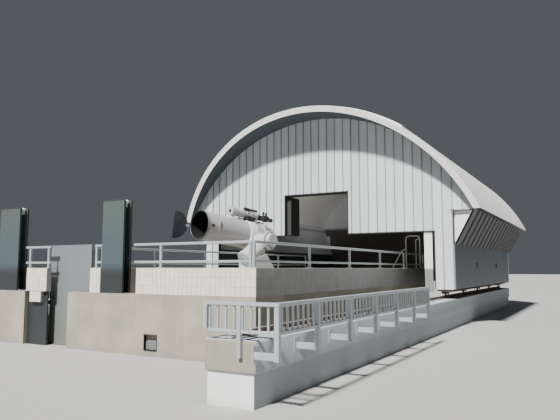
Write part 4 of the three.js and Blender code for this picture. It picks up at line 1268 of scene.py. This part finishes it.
class OBSERVATORY_OT_running_gear(bpy.types.Operator):
    """Sill channels with flanged wheels in axle boxes on the rails"""

    bl_idname = "observatory.running_gear"
    bl_label = "Running gear"

    wheels: count("Wheels", "Wheels on each side", 5, 2)

    def execute(self, context):
        (x0, y0, _), (x1, y1, top) = low("sill_girder_right"), high("sill_girder_right")
        rail_top = high("rail_right")[2]
        middle = (low("rail_right")[0] + high("rail_right")[0]) / 2
        sill, sheet, radius, half = 0.95, 0.012, 0.055, 0.024
        channel = carried(
            [(x0, sill), (x1, sill), (x1, sill + sheet), (x0 + sheet, sill + sheet),
             (x0 + sheet, top - sheet), (x1, top - sheet), (x1, top), (x0, top)], [(y0, 1), (y1, 1)])
        beams = slabs(points_at((middle - 0.06, middle + 0.048), y0 + 0.25, sill - 0.055),
                      points_at((middle - 0.048, middle + 0.06), y1 - 0.25, sill), 0.002)
        at = np.linspace(y0 + 0.5, y1 - 0.5, self.wheels)
        near = [(0, 0.044), (0.02, 0.044), (0.02, 0.03), (radius * 0.6, 0.026), (radius - 0.006, half),
                (radius, half - 0.004)]
        profile = [(r, -d) for r, d in near] + near[::-1]
        wheels = joined([lathe(profile, (middle, y, rail_top + 0.0003 + radius), (1, 0, 0), 32) for y in at])
        spots = [points_at(middle + x, at, rail_top + radius) for x in (0.073, -0.073)]
        boxes = joined([blocks(spot, 0.012, 0.05, -0.03, 0.09, 0.004) for spot in spots])
        right = channel + beams + wheels + boxes
        add_pieces("shelter", "rail_steel",
                   ("wheels_and_sill_right", right, "worn_steel", "sill_girder_right"),
                   ("wheels_and_sill_left", right.mirrored(), "worn_steel", "sill_girder_left"))
        return {"FINISHED"}


# The telescope: its pivot and its turn from the building's long axis come from the frame's joints
PIVOT = np.array(JOINTS["declination_axis"]["pos_m"], float)
POLAR = np.array(JOINTS["polar_axis"]["axis"], float)
CROSS = -np.array(JOINTS["declination_axis"]["axis"], float)
NORTH_TURN = math.atan2(-CROSS[1], CROSS[0])
MOUNT_PLACE = Matrix.Translation(PIVOT) @ Matrix.Rotation(-NORTH_TURN, 4, "Z")
TUBE_RISE = math.radians(6.3)
TUBE_PLACE = MOUNT_PLACE @ Matrix.Rotation(-TUBE_RISE, 4, "X")
TUBE_SIDE = -0.56
TUBE_UP = 0.147
TUBE_RADIUS = 0.32
TUBE_FRONT = -1.5
TUBE_BACK = 0.2
TUBE_AXIS = (TUBE_SIDE, 0, TUBE_UP)
BAND = (-0.25, -0.02)
LID_OPEN = math.radians(125)


def along_tube(profile, x=TUBE_SIDE, z=TUBE_UP, sides=72, at=(0, 0)):
    """A profile of radius and distance from at, turned round a line along the tube, in the tube's place."""
    return lathe(np.array(profile) + at, (x, 0, z), (0, 1, 0), sides).placed(TUBE_PLACE)


def repeated(shape, point, axis, number, start=0.0):
    """Copies of a shape turned evenly round an axis through a point."""
    there = Matrix.Translation(Vector(point))
    turns = [Matrix.Rotation(start + 2 * math.pi * k / number, 4, Vector(axis)) for k in range(number)]
    return joined([shape.placed(there @ turn @ there.inverted()) for turn in turns])


class OBSERVATORY_OT_mount(bpy.types.Operator):
    """The pier with its cradle, the polar housing, the head on it and the round weight"""

    bl_idname = "observatory.mount"
    bl_label = "Telescope mount"

    def execute(self, context):
        paint("mount_paint", "telescope_pier")
        r, foot, head, neck = 0.2, -0.8, -0.2603, 0.175
        housing = lathe([
            (0, foot), (0.09, foot), (0.095, foot + 0.01), (r - 0.04, foot + 0.01), (r - 0.012, foot + 0.02),
            (r, foot + 0.035), (r, foot + 0.09), (r - 0.012, foot + 0.1), (r - 0.012, head - 0.11),
            (r, head - 0.1), (r, head - 0.035), (r - 0.01, head - 0.01), (r - 0.03, head), (0, head),
        ], PIVOT, POLAR, 72)
        bolt = rod(PIVOT + POLAR * (foot + 0.11), PIVOT + POLAR * (foot + 0.088), 0.011, 6, 0.2)
        bolts = repeated(bolt.moved(*(basis(POLAR)[0] * (r - 0.022))), PIVOT, POLAR, 16)
        shoulder = lathe([
            (0, -0.26), (neck - 0.006, -0.26), (neck, -0.254), (neck, -0.238), (neck - 0.008, -0.23),
            (0.1, -0.228), (0.1, 0), (0, 0),
        ], PIVOT, POLAR, 72)
        cross = lathe([
            (0, -0.19), (0.162, -0.19), (0.17, -0.182), (0.17, -0.15), (0.16, -0.14), (0.16, 0.06),
            (0.17, 0.07), (0.17, 0.098), (0.163, 0.105), (0, 0.105),
        ], PIVOT, CROSS, 72)
        weight = lathe([
            (0, 0.1053), (0.21, 0.1053), (0.22, 0.115), (0.22, 0.155), (0.21, 0.165), (0.158, 0.165),
            (0.15, 0.172), (0.15, 0.236), (0.138, 0.25), (0.05, 0.25), (0.046, 0.246), (0, 0.246),
        ], PIVOT, CROSS, 72)
        above = PIVOT + (0, 0, 0.185)
        cap = rod(above + CROSS * 0.16, above + CROSS * 0.174, 0.011, 6, 0.2)
        add_pieces("base", "mount_grey", ("polar_shell", housing, "mount_paint", "polar_housing"),
                   ("polar_bolts", bolts, "bare_metal"))
        add_pieces("mount_head", "mount_grey",
                   ("head_shell", shoulder + cross, "mount_paint", "declination_housing"),
                   ("round_weight", weight, "mount_paint", "counterweight"),
                   ("weight_bolts", repeated(cap, PIVOT, CROSS, 8), "bare_metal"))
        return {"FINISHED"}


class OBSERVATORY_OT_tube(bpy.types.Operator):
    """The white tube with its black lining, rim ring, rear cell, cradle band and saddle"""

    bl_idname = "observatory.tube"
    bl_label = "Telescope tube"

    def execute(self, context):
        r, front, back, up = TUBE_RADIUS, TUBE_FRONT, TUBE_BACK, TUBE_UP
        side, far = TUBE_SIDE + r, TUBE_SIDE - r
        skin = along_tube([
            (r - 0.004, front + 0.06), (r, front + 0.06), (r, front + 0.45), (r + 0.0015, front + 0.452),
            (r + 0.0015, front + 0.462), (r, front + 0.464), (r, back), (0, back),
        ])
        lining = along_tube([
            (0, back - 0.02), (r - 0.012, back - 0.02), (r - 0.012, front + 0.012),
            (r - 0.003, front + 0.012), (r - 0.003, back - 0.004), (0, back - 0.004),
        ])
        rim = along_tube([(-0.012, 0.012), (-0.012, 0.002), (-0.008, -0.001), (0.008, -0.001), (0.012, 0.003),
                          (0.012, 0.056), (0.008, 0.06), (-0.004, 0.06)], at=(r, front))
        heights = up + 0.0423 * np.array([-1, 1])
        ears = slabs(points_at(far - 0.033, front - 0.02, heights - 0.012),
                     points_at(far, front + 0.02, heights + 0.012))
        screw = rod((side + 0.006, front + 0.03, up), (side + 0.018, front + 0.03, up), 0.007, 12, 0.3)
        screws = repeated(screw, TUBE_AXIS, (0, 1, 0), 12, 0.2)
        clasp = slabs((side - 0.004, front + 0.105, up - 0.03),
                      (side + 0.03, front + 0.165, up + 0.03), 0.006)
        handle = slabs((side - 0.03, front + 0.32, up - 0.12), (side + 0.016, front + 0.35, up + 0.12), 0.004)
        cell = along_tube([
            (0, 0.0003), (r + 0.006, 0.0003), (r + 0.012, 0.006), (r + 0.012, 0.064), (r + 0.004, 0.074),
            (r - 0.044, 0.35), (r - 0.052, 0.362), (0.19, 0.41), (0.178, 0.4), (0.166, 0.415),
            (0.15, 0.42), (0, 0.42),
        ], at=(0, back))
        cap = rod((side + 0.01, back + 0.035, up), (side + 0.022, back + 0.035, up), 0.009, 12, 0.3)
        knob_at = TUBE_SIDE + 0.11
        knob = rod((knob_at, back + 0.41, up), (knob_at, back + 0.432, up), 0.014, 16, 0.25)
        fixings = repeated(cap, TUBE_AXIS, (0, 1, 0), 12) + repeated(knob, TUBE_AXIS, (0, 1, 0), 6, 0.3)
        plate = along_tube([(0, 0.416), (0.08, 0.416), (0.084, 0.42), (0.08, 0.426), (0, 0.426)],
                           at=(0, back))

        start, end = BAND
        band = along_tube([(0.0004, start), (0.009, start), (0.015, start + 0.006), (0.015, end - 0.006),
                           (0.009, end), (0.0004, end)], at=(r, 0))
        saddle = slabs((side - 0.05, start, -0.12), (-0.21, 0.17, up + 0.06), 0.008)
        flange = lathe([(0, -0.2105), (0.154, -0.2105), (0.16, -0.206), (0.16, -0.1903), (0, -0.1903)],
                       (0, 0, 0), (1, 0, 0), 64)
        lug = slabs((TUBE_SIDE - 0.03, start + 0.09, up - r - 0.035),
                    (TUBE_SIDE + 0.03, start + 0.14, up - r + 0.01), 0.005)
        cradle = band + (saddle + flange + lug).placed(TUBE_PLACE)
        ring = rim + (screws + ears).placed(TUBE_PLACE)
        for slot, *row in (
                ("tube_white", "tube_skin", skin, "tube_enamel", "tube_shell"),
                ("black_paint", "tube_lining", pointing_out(lining), "flat_black"),
                ("tube_white", "rim_ring", ring, "rim_paint"),
                ("black_paint", "tube_clasp", clasp.placed(TUBE_PLACE), "black_part"),
                ("tube_white", "tube_handle", handle.placed(TUBE_PLACE), "bare_metal"),
                ("tube_white", "rear_cell_shell", cell, "tube_enamel", "rear_cell"),
                ("tube_white", "cell_fixings", fixings.placed(TUBE_PLACE), "bare_metal"),
                ("black_paint", "cell_plate", plate, "black_part"),
                ("tube_white", "cradle_band", cradle, "white_paint", "tube_cradle")):
            add_pieces("tube", slot, row)
        return {"FINISHED"}


class OBSERVATORY_OT_guide_telescope(bpy.types.Operator):
    """The guide telescope on the tube: dew cap, lens, rings, focuser, finder and knobs"""

    bl_idname = "observatory.guide_telescope"
    bl_label = "Guide telescope"

    def execute(self, context):
        x, z = TUBE_SIDE + 0.05, TUBE_UP + 0.454
        top = TUBE_UP + TUBE_RADIUS
        front = -0.706
        white = along_tube([
            (0, front + 0.016), (0.043, front + 0.016), (0.043, front), (0.1, front), (0.105, front + 0.005),
            (0.105, front + 0.141), (0.1, front + 0.146), (0.085, front + 0.166), (0.085, 0.1),
            (0.08, 0.105), (0, 0.105),
        ], x, z, 48)
        lens = along_tube([(0, 0.01), (0.0425, 0.012), (0.0425, 0.0165), (0, 0.0165)], x, z, 40, (0, front))
        focuser = along_tube([
            (0, 0.105), (0.082, 0.105), (0.084, 0.111), (0.084, 0.15), (0.07, 0.16), (0.06, 0.165),
            (0.06, 0.3), (0.066, 0.304), (0.066, 0.4), (0.06, 0.41), (0.045, 0.425), (0.045, 0.56),
            (0.05, 0.564), (0.05, 0.622), (0.045, 0.63), (0, 0.63),
        ], x, z, 40)
        parts = joined([
            *[rod((x - 0.115, y, z - 0.04), (x + 0.115, y, z - 0.04), 0.024, 20, 0.25) for y in (0.2, 0.46)],
            *[rod((x + over, y, z + 0.06), (x + over, y, z + 0.16), 0.024, 16, 0.3)
              for y, over in ((-0.16, 0.02), (0.3, 0.04), (0.42, 0.0))],
            slabs([(x + 0.03, -0.28, z - 0.13), (x + 0.02, 0.26, z - 0.06)],
                  [(x + 0.13, -0.02, z - 0.05), (x + 0.11, 0.44, z + 0.06)], 0.008),
        ])
        finder = lathe([
            (0, -0.32), (0.03, -0.32), (0.034, -0.316), (0.034, -0.21), (0.026, -0.19), (0.026, 0.02),
            (0.03, 0.025), (0.03, 0.08), (0.02, 0.085), (0, 0.085),
        ], (x + 0.035, 0, z + 0.125), (0, 1, 0), 32)
        clamp_at = np.array([-0.24, -0.09])
        ring = [(0.0854, 0), (0.097, 0), (0.101, 0.005), (0.101, 0.045), (0.097, 0.05), (0.0854, 0.05)]
        clamps = joined([along_tube(ring, x, z, 40, (0, y)) for y in clamp_at])
        feet = slabs(points_at(x - 0.05, clamp_at, top - 0.02),
                     points_at(x + 0.05, clamp_at + 0.05, z - 0.075), 0.004)
        rail = slabs((x - 0.03, -0.45, top + 0.01), (x + 0.03, 0.36, top + 0.03), 0.004)
        add_pieces("tube", "tube_white",
                   ("guide_tube", pointing_out(white), "tube_enamel", "guide_telescope"))
        add_pieces("tube", "black_paint",
                   ("guide_lens", pointing_out(lens), "lens_glass"),
                   ("guide_focuser", focuser + parts.placed(TUBE_PLACE), "black_part"),
                   ("finder", finder.placed(TUBE_PLACE), "black_part"))
        add_pieces("tube", "tube_white",
                   ("guide_clamps", clamps + (feet + rail).placed(TUBE_PLACE), "bare_metal"))
        return {"FINISHED"}


class OBSERVATORY_OT_lid(bpy.types.Operator):
    """The black half lid with its bevelled edge, and its pale hinge"""

    bl_idname = "observatory.lid"
    bl_label = "Lid"

    def execute(self, context):
        reach, half_thick, out = 0.312, 0.006, TUBE_RADIUS + 0.025
        hinge = np.array([TUBE_SIDE - out, TUBE_FRONT - 0.011, TUBE_UP])
        there = Matrix.Translation(hinge)
        place = TUBE_PLACE @ there @ Matrix.Rotation(math.pi - LID_OPEN, 4, "Z") @ there.inverted()
        turn = np.linspace(-math.pi / 2, math.pi / 2, 49)
        outline = np.stack([hinge[0] - out + reach * np.cos(turn), TUBE_UP + reach * np.sin(turn)], -1)
        edges = [(-half_thick, 0.985), (0.002 - half_thick, 1), (half_thick - 0.002, 1), (half_thick, 0.985)]
        plate = carried(outline, [(hinge[1] + y, share) for y, share in edges])
        knuckle = rod(hinge - (0, 0, 0.03), hinge + (0, 0, 0.03), 0.009)
        arm = slabs(hinge - (0.075, 0.0085, 0.028), hinge + (0, -0.002, 0.028), 0.002)
        add_pieces("lid", "black_paint", ("lid_plate", plate.placed(place), "lid_paint", "tube_lid"),
                   ("lid_hinge_plate", (knuckle + arm).placed(place), "bare_metal"))
        return {"FINISHED"}


# The camera at the photograph's viewing angle, and the lamp in the shelter with the way it shines
CAMERA_PLACE = (7.375, -15.374, 1.55)
CAMERA_TURN = (math.radians(95.90), 0, math.radians(29.38))
CAMERA_LENS = 36.40
LAMP_PLACE = (2.0, 0.6, 4.4)
LAMP_AIM = Vector((-6.4, 7.4, 0.3))


class OBSERVATORY_OT_stage(bpy.types.Operator):
    """A pale floor, a soft sun from the front, a light in the shelter, an even pale sky, and the camera"""

    bl_idname = "observatory.stage"
    bl_label = "Stage"

    sun_height: angle("Sun height", "Height of the sun over the horizon", 47)
    sun_side: angle("Sun side", "How far the light drifts to the right", 1.45)
    sun_soft: angle("Sun softness", "Angle across the sun", 5)
    sun_power: strength("Sun power", "Strength of the sun", 9.5)
    sky_power: strength("Sky power", "Strength of the sky", 0.12)
    room_power: strength("Room light", "Strength of the light in the shelter", 1100)

    def execute(self, context):
        colours = context.scene.observatory_colours

        def put(name, data, place=(0, 0, 0), turn=(0, 0, 0)):
            thing = bpy.data.objects.new(name, data)
            thing.location, thing.rotation_euler = place, turn
            context.collection.objects.link(thing)
            return thing

        camera = bpy.data.cameras.new("camera")
        camera.lens, camera.sensor_width, camera.clip_end = CAMERA_LENS, 36.0, 400
        context.scene.camera = put("camera", camera, CAMERA_PLACE, CAMERA_TURN)

        sun = bpy.data.lights.new("sun", "SUN")
        sun.energy, sun.angle, sun.color = self.sun_power, self.sun_soft, (1.0, 0.975, 0.94)
        put("sun", sun, turn=(math.pi / 2 - self.sun_height, 0, -self.sun_side))

        room = bpy.data.lights.new("room_light", "SPOT")
        room.energy, room.color = self.room_power, (1.0, 0.95, 0.88)
        room.spot_size, room.spot_blend, room.shadow_soft_size = math.radians(34), 1.0, 0.4
        put("room_light", room, LAMP_PLACE, LAMP_AIM.to_track_quat("-Z", "Y").to_euler())

        world = bpy.data.worlds.new("sky")
        world.use_nodes = True
        sky = world.node_tree.nodes["Background"]
        sky.inputs["Color"].default_value = (*colours.sky, 1)
        sky.inputs["Strength"].default_value = self.sky_power
        context.scene.world = world

        wide = 150.0
        mesh = bpy.data.meshes.new("studio_floor")
        mesh.from_pydata([(x, y, 0) for x, y in rectangle(-wide, -wide, wide, wide)], [], [(0, 1, 2, 3)])
        f = Finish("finish_studio_floor", colours.floor, roughness=0.9)
        f.shade(colours.floor, (f.noise(0.4, detail=3) - 0.5) * 0.02)
        mesh.materials.append(f.material)
        floor = put("studio_floor", mesh)
        return {"FINISHED"}


class OBSERVATORY_PT_panel(bpy.types.Panel):
    """Sizes, colours and the steps that dress the observatory"""

    bl_label = "Observatory"
    bl_idname = "OBSERVATORY_PT_panel"
    bl_space_type = "VIEW_3D"
    bl_region_type = "UI"
    bl_category = "Observatory"

    def draw(self, context):
        for group in (context.scene.observatory_sizes, context.scene.observatory_colours):
            box = self.layout.box()
            for name in group.__annotations__:
                box.prop(group, name)
        column = self.layout.column(align=True)
        for step in STEPS:
            column.operator(step.bl_idname)


STEPS = (
    OBSERVATORY_OT_stage,
    OBSERVATORY_OT_rail_beams,
    OBSERVATORY_OT_guard_fences,
    OBSERVATORY_OT_platform_walls,
    OBSERVATORY_OT_tiles,
    OBSERVATORY_OT_railings,
    OBSERVATORY_OT_screens,
    OBSERVATORY_OT_gate,
    OBSERVATORY_OT_stair_hoop,
    OBSERVATORY_OT_roof,
    OBSERVATORY_OT_gables,
    OBSERVATORY_OT_side_walls,
    OBSERVATORY_OT_doorway,
    OBSERVATORY_OT_running_gear,
    OBSERVATORY_OT_mount,
    OBSERVATORY_OT_tube,
    OBSERVATORY_OT_guide_telescope,
    OBSERVATORY_OT_lid,
)
CLASSES = (ObservatoryColours, ObservatorySizes, *STEPS, OBSERVATORY_PT_panel)


def register():
    for cls in CLASSES:
        bpy.utils.register_class(cls)
    bpy.types.Scene.observatory_colours = bpy.props.PointerProperty(type=ObservatoryColours)
    bpy.types.Scene.observatory_sizes = bpy.props.PointerProperty(type=ObservatorySizes)


def unregister():
    del bpy.types.Scene.observatory_sizes
    del bpy.types.Scene.observatory_colours
    for cls in reversed(CLASSES):
        bpy.utils.unregister_class(cls)


def main():
    """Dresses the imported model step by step."""
    register()
    for step in STEPS:
        group, name = step.bl_idname.split(".")
        result = getattr(getattr(bpy.ops, group), name)()
        if result != {"FINISHED"}:
            raise RuntimeError(f"{step.bl_label} didn't finish")


if __name__ == "__main__":
    main()
